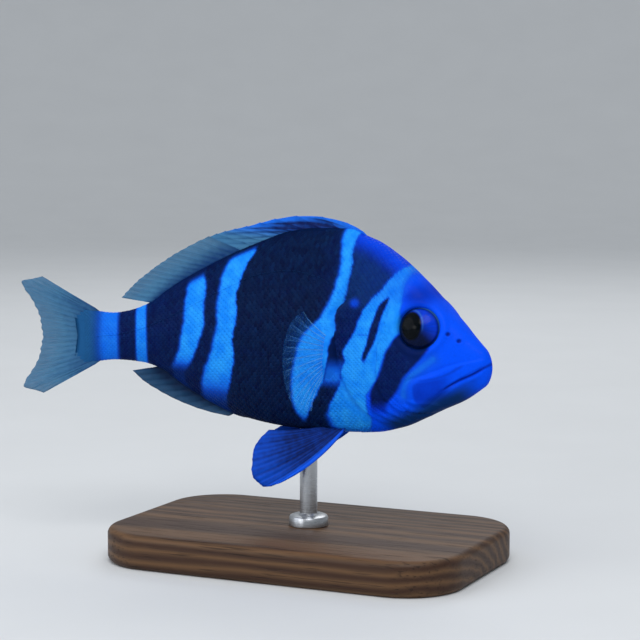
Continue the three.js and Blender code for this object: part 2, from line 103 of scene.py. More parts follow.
def swell(distance, width):
    """1 at no distance, dying away over about the width."""
    return np.exp(-((distance / width) ** 2))


def mix(start, end, share):
    return start + (end - start) * share


def smooth_curve(pairs):
    """A smooth curve through (place, value) pairs, by cubic pieces that don't overshoot."""
    places, values = (np.array(column, float) for column in zip(*pairs))
    slopes = np.diff(values) / np.diff(places)
    before, after = slopes[:-1], slopes[1:]
    turning = before * after <= 0
    inner = np.where(turning, 0, 2 * before * after / np.where(turning, 1, before + after))
    tangents = np.concatenate([slopes[:1], inner, slopes[-1:]])

    def value_at(place):
        at = np.clip(place, places[0], places[-1])
        i = np.clip(np.searchsorted(places, at, side="right") - 1, 0, len(slopes) - 1)
        span = places[i + 1] - places[i]
        t = (at - places[i]) / span
        rest = 1 - t
        ends = values[i] * (1 + 2 * t) * rest * rest + values[i + 1] * t * t * (3 - 2 * t)
        return ends + (tangents[i] * rest - tangents[i + 1] * t) * span * t * rest

    return value_at


def drawn_line(points, steps=6):
    """A smooth line through (station, height) points, as a row of close points."""
    columns = np.array(points, float).T
    places = range(len(points))
    fine = np.linspace(0, len(points) - 1, (len(points) - 1) * steps + 1)
    return np.stack([smooth_curve(zip(places, column))(fine) for column in columns], axis=1)


def nearest_on(line, station, height):
    """Distance from a line, the side it lies on, and how far along it is, from 0 to 1."""
    best = np.full(station.shape, np.inf)
    side = np.ones(station.shape)
    share = np.zeros(station.shape)
    for i, (start, end) in enumerate(zip(line[:-1], line[1:])):
        along = end - start
        off = (station - start[0], height - start[1])
        t = np.clip((off[0] * along[0] + off[1] * along[1]) / (along @ along), 0, 1)
        distance = np.hypot(off[0] - t * along[0], off[1] - t * along[1])
        closer = distance < best
        best = np.where(closer, distance, best)
        turned = along[0] * off[1] - along[1] * off[0]
        side = np.where(closer, np.where(turned < 0, -1, 1), side)
        share = np.where(closer, (i + t) / (len(line) - 1), share)
    return best, side, share


def ripple(place, seed):
    """A small irregular wave, between about -1 and 1."""
    waves = ((0.9, 0.5), (2.1, 0.3), (4.7, 0.2))
    return sum(size * np.sin(rate * place + seed * (3.1 + rate)) for rate, size in waves)


# Outlines of the body: (station, value). They run on past the tail root for the scaly sheath that
# covers the roots of the tail's rays.

STANDARD_LENGTH = 98
SHEATH_END, SHEATH_HALF_HEIGHT = 103, 7.5
TAIL_MIDDLE = 1.75
BEND_START, BEND_END = 24, 86
HEAD_TURN = math.radians(7)
BEND_PER_MM = math.radians(20) / (BEND_END - BEND_START)
ROD_STATION = 46
SNOUT_HEIGHT = 48
NOSE_ROUNDING = 1.6
NOSE_HEIGHT = -0.9

back_height = smooth_curve([
    (0, 1.7), (1.8, 3.35), (4.5, 5.8), (7.2, 8.5), (10.5, 11.5), (17, 17.5), (23.1, 22.45),
    (29.2, 25.9), (36, 27.6), (44, 27.5), (51, 26.5), (57, 24.4), (66, 20.6), (76.7, 15.0),
    (84, 10.4), (90, 8.0), (94, 7.4), (STANDARD_LENGTH, 7.8), (SHEATH_END, 9.3),
])
belly_height = smooth_curve([
    (0, -3.9), (2.5, -5.8), (6.5, -8.5), (11.8, -11.0), (16, -13.1), (21.3, -15.5), (28, -17.15),
    (36, -17.8), (44, -17.9), (52, -17.5), (60, -16.35), (67, -13.9), (74, -10.4), (81, -6.1),
    (87, -4.1), (93, -3.7), (STANDARD_LENGTH, -4.3), (SHEATH_END, -5.8),
])
half_width = smooth_curve([
    (0, 1.2), (2, 2.2), (4.5, 3.4), (8, 4.8), (12, 5.9), (20, 7.1), (26, 7.9), (33, 8.4),
    (40, 8.6), (48, 8.3), (56, 7.6), (64, 6.5), (72, 5.2), (80, 3.9), (88, 2.8), (94, 2.2),
    (STANDARD_LENGTH, 1.6), (SHEATH_END, 0.15),
])
widest_share = smooth_curve([(0, 0.5), (10, 0.42), (25, 0.42), (45, 0.48), (70, 0.5), (98, 0.5)])
back_roundness = smooth_curve([(0, 2.2), (9, 2.5), (15, 2.6), (22, 2.1), (30, 1.75), (50, 1.65), (98, 1.7)])
belly_roundness = smooth_curve([(0, 2.2), (12, 2.1), (30, 2.0), (50, 1.9), (98, 1.8)])

# Lines on the side of the head, as (station, height) points

# The slit of the mouth
GAPE = drawn_line([
    (-1, 0.6), (0, 0), (3.4, -2.3), (6, -3.6), (8.3, -5.0), (9.9, -6.1), (13.2, -8.2),
])
# Middle of the flat bone above the rear of the mouth
JAW_PLATE = drawn_line([(1.5, 0.3), (6, -1.6), (10.5, -4.2), (15.6, -7.0)])
# Upper edge of the painted shade over the jaw plate
JAW_FOLD = drawn_line([
    (4.2, 0.4), (5.7, -0.6), (7.5, -1.8), (9.2, -2.7), (10.9, -3.3), (13.2, -3.8), (15.3, -4.2),
    (16.4, -5.0), (16.7, -6.1), (16.7, -7.5), (16.4, -8.8), (15.4, -9.6),
])
# Paler streak down the cheek, behind the jaw plate
CHEEK_LIGHT = drawn_line([(11.5, 0.8), (14.6, -1.6), (16.9, -3.4), (18.2, -5.4), (18.6, -7.6)])
GILL_OPENING = drawn_line([
    (22.5, 32), (24.5, 22), (27, 16.2), (31, 13.6), (34.2, 11.2), (35.3, 9.0), (34.9, 4),
    (33.8, -2), (31.5, -8), (27.5, -12.8), (21, -17), (18, -21),
])
# Saw-toothed rear edge of the cheek
CHEEK_EDGE = drawn_line([(22.2, 10), (24.0, 4), (24.6, -3), (23.4, -8.2), (19, -11.2), (13, -11.6)])
CHEEK_TEETH = 34
GILL_SPINE_HEIGHTS = (9.0, 5.6, 2.0)
THROAT_FOLD_GAP = 1.7
NOSTRILS = [(8.7, 6.3), (6.4, 4.9)]
EYE_STATION, EYE_HEIGHT = 15, 7.4
EYE_HALF_LENGTH, EYE_HALF_HEIGHT, EYE_HALF_DEPTH = 4.85, 4.75, 2.7
EYE_BULGE = 1.0
# Fleshy pad that the side fin grows from
PAD_STATION, PAD_HEIGHT, PAD_HALF_LENGTH, PAD_HALF_HEIGHT = 37, 0.3, 2.6, 5.4

# The smooth body


def signed_power(value, power):
    return np.sign(value) * np.abs(value) ** power


def stacked(*columns):
    return np.stack(np.broadcast_arrays(*columns), axis=-1)


def section_point(station, angle):
    """A point of the smooth body: angle 0 is the left side, 90 degrees the back."""
    blunt = np.minimum(station / NOSE_ROUNDING, 1)
    nose = np.sqrt(np.maximum(1 - (1 - blunt) ** 2, 1e-6))
    top = NOSE_HEIGHT + (back_height(station) - NOSE_HEIGHT) * nose
    bottom = NOSE_HEIGHT + (belly_height(station) - NOSE_HEIGHT) * nose
    middle = mix(bottom, top, widest_share(station))
    upper = np.sin(angle) >= 0
    power = 2 / np.where(upper, back_roundness(station), belly_roundness(station))
    reach = np.where(upper, top - middle, middle - bottom)
    across = half_width(station) * nose * signed_power(np.cos(angle), power)
    return stacked(-station, across, middle + reach * signed_power(np.sin(angle), power))


# Even steps round a section: tables of the angle at each share of the half girth, by station
TABLE_STATIONS = np.linspace(0, SHEATH_END, 413)
TABLE_SHARES = np.linspace(0, 1, 181)


def girth_tables():
    """The angles for even steps, one row for each station, and the half girths."""
    angles = np.radians(np.linspace(-90, 90, 721))
    rings = section_point(TABLE_STATIONS[:, None], angles[None, :])
    steps = np.linalg.norm(np.diff(rings, axis=1), axis=2)
    lengths = np.concatenate([np.zeros((len(rings), 1)), np.cumsum(steps, axis=1)], axis=1)
    half_girths = lengths[:, -1]
    rows = [np.interp(TABLE_SHARES * row[-1], row, angles) for row in lengths]
    return np.array(rows), half_girths


ANGLE_TABLE, HALF_GIRTHS = girth_tables()


def half_girth(station):
    return np.interp(station, TABLE_STATIONS, HALF_GIRTHS)


def angle_at(station, share):
    """The angle round the section at a share of its half girth, 0 at the belly and 1 at the back."""
    row = np.clip(station / SHEATH_END, 0, 1) * (len(TABLE_STATIONS) - 1)
    column = np.clip(share, 0, 1) * (len(TABLE_SHARES) - 1)
    r = np.minimum(row.astype(int), len(TABLE_STATIONS) - 2)
    c = np.minimum(column.astype(int), len(TABLE_SHARES) - 2)
    low = mix(ANGLE_TABLE[r, c], ANGLE_TABLE[r, c + 1], column - c)
    high = mix(ANGLE_TABLE[r + 1, c], ANGLE_TABLE[r + 1, c + 1], column - c)
    return mix(low, high, row - r)


def back_share(loop):
    """A loop runs from the belly up the left side (0 to 0.5) and down the right (0.5 to 1)."""
    return 1 - np.abs(1 - 2 * (loop % 1))


def side_of(loop):
    return np.where(loop % 1 < 0.5, LEFT, RIGHT)


def loop_on(side, share):
    """The loop at a share of the half girth on one side."""
    return np.where(side == LEFT, share / 2, 1 - share / 2)


def body_point(station, loop):
    station = np.clip(station, 0, SHEATH_END)
    point = section_point(station, angle_at(station, back_share(loop)))
    point[..., 1] *= side_of(loop)
    return point


def unit(vectors):
    lengths = np.linalg.norm(vectors, axis=-1, keepdims=True)
    return np.divide(vectors, lengths, out=np.zeros_like(vectors), where=lengths > 1e-9)


def outward_at(station, loop):
    """The direction straight out of the smooth body."""
    ahead = body_point(station + 0.06, loop) - body_point(station - 0.06, loop)
    turn = 0.12 / np.maximum(half_girth(station), 1)
    around = body_point(station, loop + turn) - body_point(station, loop - turn)
    return unit(np.cross(ahead, around))


def loop_at_height(station, height, side):
    """Where a side of the body has this height."""
    low = np.zeros(np.shape(station))
    high = np.ones(np.shape(station))
    for _ in range(24):
        middle = (low + high) / 2
        below = section_point(station, angle_at(station, middle))[..., 2] < height
        low, high = np.where(below, middle, low), np.where(below, high, middle)
    return loop_on(side, low)


def posed(points):
    """Straight fish in millimetres to its place on the stand in metres."""
    def midline(station):
        turn = HEAD_TURN - BEND_PER_MM * (np.clip(station, BEND_START, BEND_END) - BEND_START)
        ahead = np.minimum(station, BEND_START)
        behind = np.maximum(station - BEND_END, 0)
        x = (np.sin(turn) - math.sin(HEAD_TURN)) / BEND_PER_MM
        y = (np.cos(turn) - math.cos(HEAD_TURN)) / BEND_PER_MM
        x = x - ahead * math.cos(HEAD_TURN) - behind * np.cos(turn)
        y = y + ahead * math.sin(HEAD_TURN) + behind * np.sin(turn)
        return x, y, turn

    x, y, turn = midline(-points[..., 0])
    rod_x, rod_y, _ = midline(np.float64(ROD_STATION))
    across = points[..., 1]
    placed = [x - rod_x + across * np.sin(turn), y - rod_y + across * np.cos(turn)]
    return np.stack([*placed, points[..., 2] + SNOUT_HEIGHT], axis=-1) * MM


# Forms of the skin


def eye_axes(side):
    """Middle of an eyeball and its directions: forwards, up and out."""
    station, height = np.array([float(EYE_STATION)]), np.array([float(EYE_HEIGHT)])
    loop = loop_at_height(station, height, side)
    out = outward_at(station, loop)[0]
    forwards = unit(np.cross(np.array([0.0, 0.0, 1.0]), out)) * -side
    up = np.cross(out, forwards) * -side
    centre = body_point(station, loop)[0] + out * (EYE_BULGE - EYE_HALF_DEPTH)
    return centre, forwards, up, out


EYE_AXES = {side: eye_axes(side) for side in (LEFT, RIGHT)}


def from_eye(points, side):
    """How far points lie from an eye's axis, as a share of the eye's own half size."""
    centre, forwards, up, _ = EYE_AXES[side]
    off = points - centre
    return np.hypot(off @ forwards / EYE_HALF_LENGTH, off @ up / EYE_HALF_HEIGHT)


def mouth_form(station, height):
    """The lips, the slit between them and the flat plate of the upper jaw with its crease."""
    distance, _, _ = nearest_on(GAPE, station, height)
    fade = 1 - ramp(station, 7, 12)
    lips = 0.22 * swell(distance - 0.85, 0.6) * fade
    slit = 0.34 * swell(distance, 0.24) * (1 - ramp(station, 8.5, 11))
    from_plate, _, along = nearest_on(JAW_PLATE, station, height)
    plate_half = mix(0.8, 2.8, along)
    plate = 0.28 * (1 - ramp(from_plate / plate_half, 0.7, 1.2))
    crease = 0.1 * swell(from_plate - 1.2 * plate_half, 0.3) * ramp(station, 4, 8)
    return (np.maximum(lips, plate) - slit - crease) * ramp(station, 0.2, 2.5)


def nostril_form(station, height):
    """Two small pits, each with a low rim."""
    form = 0
    for at_station, at_height in NOSTRILS:
        distance = np.hypot(station - at_station, height - at_height)
        form = form + 0.08 * swell(distance - 0.66, 0.26) - 0.25 * (1 - ramp(distance, 0.15, 0.5))
    return form


def from_pad(station, height, wider=0, higher=0):
    """How far a place lies from the middle of the side fin's pad, as a share of its half size."""
    along = (station - PAD_STATION) / (PAD_HALF_LENGTH + wider)
    return np.hypot(along, (height - PAD_HEIGHT) / (PAD_HALF_HEIGHT + higher))


def gill_form(station, height):
    """The cheek's saw-toothed edge, the gill cover's edge and flat spines, the folds under the
    throat and the side fin's pad."""
    from_cheek, cheek_side, along = nearest_on(CHEEK_EDGE, station, height)
    teeth = 0.14 * np.sin(2 * math.pi * along * CHEEK_TEETH)
    cheek_front = cheek_side * (from_cheek + teeth) < 0
    cheek = np.where(cheek_front, 0.42 * swell(from_cheek, 2.0), -0.28 * swell(from_cheek, 0.8))
    ridge = 0.16 * swell(from_cheek - 2.4, 0.45) * (cheek_side < 0) * ramp(along, 0.1, 0.3)
    from_gill, gill_side, _ = nearest_on(GILL_OPENING, station, height)
    ahead = gill_side < 0
    cover = np.where(ahead, 0.55 * swell(from_gill, 3.2), -0.45 * swell(from_gill, 1.3))
    cover = cover * window(height, -16, -11, 12, 16)
    spines = 0
    for spine_height in GILL_SPINE_HEIGHTS:
        flat = swell(height - spine_height, 0.5)
        spines = spines + 0.2 * flat * ramp(station, 27.5, 33.5) * ahead * (from_gill > 1.0)
    throat = (1 - ramp(height, -12.5, -9)) * window(from_gill, 0.4, 1.4, 6, 9)
    waves = np.sin(2 * math.pi * from_gill / THROAT_FOLD_GAP)
    folds = 0.16 * waves * throat * ahead * ramp(station, 12, 16)
    pad = 0.7 * (1 - ramp(from_pad(station, height), 0.4, 1.1)) * ~ahead
    return cheek + ridge + cover + spines + folds + pad


def fin_root_form(station, share):
    """Low fleshy ridges along the roots of the dorsal and anal fins."""
    off_back = (1 - share) * half_girth(station)
    off_belly = share * half_girth(station)
    dorsal = window(station, 31.5, 35, 81, 85)
    anal = window(station, 60.5, 63.5, 79, 82)
    return 0.55 * swell(off_back, 1.1) * dorsal + 0.55 * swell(off_belly, 1.0) * anal


# The skin lies this far inside the solids, so that scales and ridges stay within them
SKIN_INSET = 0.1


def skin_point(station, loop, lift=0.0):
    """A point of the modelled skin, straight, with lift mm added outwards."""
    smooth = body_point(station, loop)
    out = outward_at(station, loop)
    height = smooth[..., 2]
    side_on = ramp(np.abs(smooth[..., 1]) / half_width(station), 0.2, 0.6)
    on_head = 1 - ramp(station, 43, 45)
    flat_forms = nostril_form(station, height) + gill_form(station, height)
    form = (mouth_form(station, height) + flat_forms * side_on) * on_head
    form = form + fin_root_form(station, back_share(loop))
    point = smooth + out * (form - SKIN_INSET + lift)[..., None]
    for side in (LEFT, RIGHT):
        off = from_eye(point, side)
        near = (station > 6) & (station < 23) & (side_of(loop) == side)
        socket = 0.32 * swell((off - 1.17) * EYE_HALF_LENGTH, 0.75) - 1.9 * (1 - ramp(off, 0.86, 1.02))
        point = point + out * np.where(near, socket, 0)[..., None]
    # The scaly sheath ends in a shallow fork, as the tail fin does
    past_root = np.clip((station - STANDARD_LENGTH) / (SHEATH_END - STANDARD_LENGTH), 0, 1)
    spread = np.abs(height - TAIL_MIDDLE) / SHEATH_HALF_HEIGHT
    point[..., 0] -= past_root * (1.6 * spread**2 - 0.8)
    return point


# Markings on the flank: the lines between dark and light, as (height, station) pairs from the
# belly up

EYE_BAR_FRONT = smooth_curve([
    (-9.7, 22.9), (-7.3, 20.5), (-5.6, 19.3), (-3.5, 18.1), (-1.8, 16.6), (0.4, 14.6), (2.7, 12.6),
])
EYE_BAR_REAR = smooth_curve([
    (-8.2, 26.6), (-6.5, 26.1), (-3.9, 24.2), (-1.4, 23.3), (0.9, 22.6), (3.8, 21.1), (6.2, 19.2),
])
THIN_FRONT = smooth_curve([
    (-1.1, 27.6), (0.7, 26.8), (3.6, 25.2), (6.7, 24.3), (9.1, 23.7), (11.9, 22.7), (14.3, 22.0),
])
THIN_REAR = smooth_curve([
    (-1.1, 27.7), (-0.1, 28.2), (3.2, 27.1), (6.6, 26.4), (9.0, 25.5), (11.9, 24.5), (14.3, 22.1),
])
STRIPES_FRONT = smooth_curve([
    (-16.5, 28.9), (-13.6, 27.6), (-10.8, 27.6), (-8.3, 27.6), (-6.5, 26.3), (-3.9, 24.3), (-1.4, 23.3),
    (0.9, 22.6), (3.8, 21.1), (6.2, 19.6), (9, 19.2), (12, 19.3), (15, 19.2), (18, 18.8), (20, 18.4),
])
STRIPES_REAR = smooth_curve([
    (-17.5, 37.6), (-14, 38.4), (-11.4, 37.5), (-8.8, 35.9), (-5.7, 34.0), (-1.9, 32.9), (-0.8, 32.3),
    (1.1, 32.6), (2.5, 32.0), (5.3, 30.4), (7.6, 29.5), (9.6, 28.6), (12.0, 27.4), (13.7, 26.0),
    (16.1, 23.7), (18.0, 22.6), (19.6, 21.2), (24, 18),
])
BAR_3_FRONT = smooth_curve([
    (-17.5, 46.5), (-15.5, 45.2), (-13.1, 43.5), (-10.6, 41.9), (-7.5, 39.9), (-4.2, 37.9), (0, 36.7),
    (3.8, 36.0), (6.7, 34.8), (8.6, 35.0), (10.7, 34.7), (12.9, 33.3), (14.6, 32.9), (16.9, 32.5),
    (20.2, 32.4), (23.5, 32.8), (26.5, 32.9),
])
BAR_3_REAR = smooth_curve([
    (-16, 45.6), (-14.5, 46.2), (-12.6, 46.8), (-8.7, 47.1), (-3.7, 46.2), (1.1, 44.8), (5.0, 42.9),
    (8.9, 38.7), (12.8, 36.8), (15.7, 35.7), (19.2, 35.2), (22.7, 35.4), (26.4, 36.4),
])
BAR_4_FRONT = smooth_curve([
    (-12.5, 65.3), (-9.1, 64.2), (-5.9, 63.1), (-1.7, 62.1), (2.7, 62.2), (5.7, 61.8), (9.0, 61.2),
    (12.9, 61.9), (14.1, 61.5), (16.1, 60.9), (18.7, 60.2), (20.6, 59.5), (22.4, 58.2),
])
BAR_4_REAR = smooth_curve([
    (-8.3, 71.5), (-5.6, 70.3), (-2.1, 68.7), (1.7, 67.3), (5.8, 66.4), (10.8, 66.5), (15.0, 66.2),
    (18.9, 65.4), (21.5, 64.4),
])
BAR_5_FRONT = smooth_curve([
    (-6.0, 75.9), (-3.8, 74.0), (-0.6, 72.5), (2.2, 71.1), (5.6, 70.1), (9.9, 70.2), (13.9, 70.2),
    (17.0, 71.1),
])
BAR_5_REAR = smooth_curve([
    (-4.8, 78.9), (-3.0, 77.9), (0.2, 76.4), (5.4, 75.4), (10.4, 75.1), (14.6, 75.1), (16.8, 74.2),
])
dark_depth = smooth_curve([(20, 0.7), (30, 0.8), (36, 0.9), (42, 1.0), (60, 1.0), (70, 0.93), (98, 0.85)])


def markings(station, height, side):
    """Pigments at a place on the flank, with painted light and shade among them: indigo darkens the cobalt
    ground, azure lightens it, slate dulls it, and haze is the grey-blue of the tail fin's root. The top of
    the back carries a painted highlight; the mouth slit, the nostrils, a crease on the gill cover, the jaw
    fold and the underside of the head carry painted shade."""
    wave = 0.2 * ripple(height, side) + 0.1 * ripple(3.3 * height + station, side + 2)

    def behind(edge, soft=0.3, waviness=1.0):
        return ramp(station - edge(height) + wave * waviness, -soft, soft)

    def bar(front, rear, at_front=(0.3, 1.0), at_rear=(0.3, 1.0)):
        """A bar between two lines, with how soft and how wavy it is at each."""
        return behind(front, *at_front) * (1 - behind(rear, *at_rear))

    below_back = back_height(station) - height
    above_belly = height - belly_height(station)
    bars = behind(STRIPES_REAR, 0.35 + 1.3 * (1 - ramp(height, -14.5, -11)))
    indigo = bars * dark_depth(station)
    # Painted highlight: less indigo along the top of the back ahead of the spiny dorsal, and a little less
    # higher up on the front of the trunk, where light from above falls
    lit_top_highlight = (1 - ramp(below_back, 0.4, 5.2)) * (1 - ramp(station, 32, 36.5))
    indigo = indigo * (1 - 0.7 * lit_top_highlight) * mix(1, 0.9, ramp(height, 12, 22) * (station < 34))

    eye_bar = bar(EYE_BAR_FRONT, EYE_BAR_REAR, (0.7, 0.4), (0.5, 0.5)) * window(height, -13.5, -8.5, 7, 9)
    above_eye = 0.42 * swell(np.hypot((station - 16) / 3.6, (height - 14.2) / 2.6), 1)
    thin = bar(THIN_FRONT, THIN_REAR, (0.25, 0.3), (0.25, 0.3)) * window(height, -1.6, 0.4, 13.2, 14.4)

    stripes = behind(STRIPES_FRONT, 0.6 + 1.2 * ramp(height, 12, 18), 0.6) * (1 - bars)
    stripes = stripes * (1 - 0.28 * ramp(height, 10, 15)) * (1 - 0.4 * ramp(height, 19.5, 22))
    stripes = stripes * mix(0.6, 1, ramp(above_belly, 0.3, 2))
    bar_3 = bar(BAR_3_FRONT, BAR_3_REAR, at_rear=(0.75, 1)) * ramp(above_belly, 1.2, 5.5)
    bar_4 = bar(BAR_4_FRONT, BAR_4_REAR, at_rear=(0.8, 1)) * ramp(below_back, 0.2, 1.5)
    bar_4 = bar_4 * mix(0.08, 1, ramp(height, -13.5, -3.5))
    bar_5 = bar(BAR_5_FRONT, BAR_5_REAR, (0.5, 1), (0.7, 1)) * ramp(below_back, 0.4, 2.5)
    bar_5 = bar_5 * mix(0.05, 1, ramp(height, -6, -0.8))
    bowed = station - 0.0125 * (height - 2) ** 2
    bar_6 = 0.8 * window(bowed, 84.6, 85.4, 87.2, 88.0)
    root_patch = 0.6 * ramp(bowed, 91.4, 92.8) * (1 - 0.7 * ramp(station, 95, 99))
    pad_patch = 0.55 * bar(STRIPES_REAR, BAR_3_FRONT, (0.9, 1), (0.9, 1))
    pad_patch = pad_patch * window(height, -7.4, -4.6, -3.2, 0.4)

    azure = np.maximum.reduce([stripes, bar_3, bar_4, bar_5, bar_6, root_patch, pad_patch])
    spot = swell(np.hypot(station - 30.4, (height - 12.2) / 0.85), 1) * 1.4
    indigo = indigo * (1 - np.clip(spot, 0, 0.95))
    # Painted shade: a thin dark line in a crease on the gill cover
    crease = 0.5 * swell(height - 5.4, 0.16) * window(station, 26.7, 27.1, 29.1, 29.6)
    indigo = np.maximum.reduce([indigo, eye_bar * 0.82, above_eye, thin * 0.86, crease])
    azure = azure * (1 - thin) * (1 - eye_bar) * (1 - crease)

    # Painted shade: darker along the mouth slit and inside the two nostril pits
    from_gape, _, _ = nearest_on(GAPE, station, height)
    slit = 0.5 * swell(from_gape, 0.26) * (1 - ramp(station, 8.5, 11)) * ramp(station, -1, 0.4)
    for at_station, at_height in NOSTRILS:
        distance = np.hypot(station - at_station, height - at_height)
        slit = np.maximum(slit, 0.56 * (1 - ramp(distance, 0.2, 0.62)))
    indigo = np.maximum(indigo, slit * (station < 14))

    # Painted shade: a dark line along the jaw fold, and darker below it
    from_fold, fold_side, _ = nearest_on(JAW_FOLD, station, height)
    under_fold_shade = (fold_side < 0) * ramp(from_fold, 0, 0.7) * ramp(station, 6.5, 10.5) * (station < 17)
    fold_shade_line = 0.22 * swell(from_fold, 0.3) * window(station, 4.6, 6, 14, 16)
    indigo = np.maximum(indigo, fold_shade_line + 0.28 * under_fold_shade)

    from_cheek, _, _ = nearest_on(CHEEK_LIGHT, station, height)
    azure = np.maximum(azure, 0.5 * swell(from_cheek, 1.4) * (1 - eye_bar) * (station < 22))
    # Painted shade: duller and darker towards the belly on the underside of the head. The nape's share
    # dulls the top of the nape bar
    slate = (1 - ramp(above_belly, 1.4, 4.6)) * window(station, 1.5, 7, 22, 27)
    nape = bars * (1 - behind(BAR_3_FRONT, 1.2)) * ramp(height, 9, 13) * (1 - lit_top_highlight)
    slate = np.maximum(slate, 0.5 * nape)
    haze = ramp(station, 95.5, 100.5)
    return {"indigo": indigo, "azure": azure * (1 - 0.5 * slate), "slate": slate, "haze": haze}


# Meshes


def taken_from(shape):
    """A bmesh's places and its faces. The bmesh is freed."""
    places = np.array([vertex.co[:] for vertex in shape.verts])
    faces = [[vertex.index for vertex in face.verts] for face in shape.faces]
    shape.free()
    return places, faces


def globe(around, rings):
    """A closed shape between two poles: its vertices' rings and turns, both 0 to 1, and its faces."""
    shape = bmesh.new()
    bmesh.ops.create_uvsphere(shape, u_segments=around, v_segments=rings, radius=1)
    places, faces = taken_from(shape)
    ring = np.round(np.arccos(np.clip(places[:, 2], -1, 1)) / math.pi * rings) / rings
    turn = np.round(np.arctan2(places[:, 1], places[:, 0]) / (2 * math.pi) * around) % around / around
    return ring, turn, faces


def sheet(columns, rows):
    """A flat grid: its vertices' places along both edges, 0 to 1, and its faces."""
    shape = bmesh.new()
    bmesh.ops.create_grid(shape, x_segments=columns, y_segments=rows, size=1)
    places, faces = taken_from(shape)
    return (places[:, 0] + 1) / 2, (places[:, 1] + 1) / 2, faces


def finished(name, points, faces, values, turned_out=True):
    """A piece from points in metres, with its smooth shading, attributes and outward faces."""
    mesh = bpy.data.meshes.new(name)
    mesh.from_pydata(points.reshape(-1, 3), [], faces)
    for key, numbers in values.items():
        column = np.broadcast_to(numbers, points.shape[:-1]).astype(np.float32).ravel()
        mesh.attributes.new(key, "FLOAT", "POINT").data.foreach_set("value", column)
    if turned_out:
        shape = bmesh.new()
        shape.from_mesh(mesh)
        bmesh.ops.recalc_face_normals(shape, faces=shape.faces)
        shape.to_mesh(mesh)
        shape.free()
    mesh.shade_smooth()
    return linked(name, mesh)


def joined(name, faces, points, values):
    """One piece from many copies of a shape. points is copies x vertices x 3, in metres."""
    copies, count, _ = points.shape
    every = [[index + copy * count for index in face] for copy in range(copies) for face in faces]
    return finished(name, points, every, values)


# Skin

SKIN_AROUND = 300
# Distance between rings at four stations
SKIN_SPACING = ((2, 37, 60, 98), (0.25, 0.26, 0.48, 0.5))


def skin_stations():
    """Rings close together on the head, wider on the trunk and the tail stalk."""
    stations = list(NOSE_ROUNDING * (np.arange(9) / 8) ** 2)
    while stations[-1] < SHEATH_END - 0.3:
        stations.append(stations[-1] + float(np.interp(stations[-1], *SKIN_SPACING)))
    return np.array([*stations, SHEATH_END])


def make_skin():
    stations = skin_stations()
    rings = len(stations)
    ring, loop, faces = globe(SKIN_AROUND, rings)
    station = np.interp(ring * rings, np.arange(rings + 1), [*stations, SHEATH_END])
    points = skin_point(station, loop)
    height = body_point(station, loop)[:, 2]
    values = markings(station, height, side_of(loop)) | {"sheen_share": 0.5, "rim": 0.35}
    last = ring > 1 - 0.5 / rings
    points[last] = points[(ring > 1 - 1.5 / rings) & ~last].mean(axis=0)
    return finished("fish_skin", posed(points), faces, values)


# Scales

# A scale is SCALE_THICK mm thick, and its rear edge stands SCALE_RISE mm off the skin where scales
# are FULL_SPACING apart or more
SCALE_THICK, SCALE_RISE, FULL_SPACING = 0.08, 0.08, 1.2
# Size of a scale's patch on the map that its colours are baked on
BAKE_PATCH = 0.0024


def scale_shape():
    """One scale along x, its root at the front: places in units of the spacing, height in mm."""
    shape = bmesh.new()
    bmesh.ops.create_grid(shape, x_segments=3, y_segments=4, size=1)
    for vertex in shape.verts:
        share, across = (vertex.co.x + 1) / 2, vertex.co.y
        rear = 0.2 + 0.48 * math.sqrt(1 - 0.8 * across**2)
        vertex.co.x = mix(-0.52, rear, share)
        vertex.co.y = 0.58 * across
        dome = 0.05 * (1 - across**2)
        vertex.co.z = SCALE_RISE * (1.25 * share - 0.25) + dome * math.sin(math.pi * min(share, 0.9))
    grown = bmesh.ops.extrude_face_region(shape, geom=shape.faces[:])
    for vertex in (item for item in grown["geom"] if isinstance(item, bmesh.types.BMVert)):
        vertex.co.z += SCALE_THICK
        vertex.co.x = mix(0.08, vertex.co.x, 0.94)
        vertex.co.y *= 0.94
    bmesh.ops.recalc_face_normals(shape, faces=shape.faces)
    places, faces = taken_from(shape)
    places[:, 2] -= SCALE_THICK
    return places, faces


# Height of the row of scales that the others are counted from
row_line = smooth_curve([(0, 8), (35, 8), (60, 6), (80, 3), (STANDARD_LENGTH, TAIL_MIDDLE)])


def scale_places(start, end, spacing_at, side):
    """Staggered rows of places on one side, as stations and loops."""
    stations = [start]
    while stations[-1] < end:
        stations.append(stations[-1] + 0.5 * float(spacing_at(stations[-1])))
    stations = np.array(stations)
    middle = loop_at_height(stations, row_line(stations), LEFT) * 2
    places = []
    for i, station in enumerate(stations):
        girth, spacing = half_girth(station), spacing_at(station) * 1.06
        above = (1 - middle[i]) * girth / spacing
        below = middle[i] * girth / spacing
        offset = 0.5 * (i % 2)
        rows = np.arange(math.ceil(-below - offset), math.floor(above - offset) + 1) + offset
        share = middle[i] + rows * spacing / girth
        places.append(np.stack([np.full(len(rows), station), loop_on(side, share)], axis=1))
    return np.concatenate(places)


def bare_skin(station, height, share):
    """True where no scale grows: the roots of the fins and the pad of the side fin."""
    off_back = (1 - share) * half_girth(station)
    off_belly = share * half_girth(station)
    dorsal = (station > 32) & (station < 83.5) & (off_back < 0.8)
    anal = (station > 61.5) & (station < 81.5) & (off_belly < 0.8)
    pelvic = (station > 32) & (station < 38) & (off_belly < 3.4)
    pad = from_pad(station, height, 0.3, 0.4) < 1
    return dorsal | anal | pelvic | pad


def trunk_cover(station, height, share):
    """How far inside the scaled part of the trunk and nape a place is, in mm."""
    from_gill, gill_side, _ = nearest_on(GILL_OPENING, station, height)
    behind = np.where(gill_side > 0, from_gill - 0.95, -1)
    behind = np.where((gill_side > 0) & (height > 14), 3, behind)
    nape = np.minimum(height - 13.4, station - 17.5 - 0.25 * (back_height(station) - height))
    return np.where(bare_skin(station, height, share), -1, np.maximum(behind, nape))


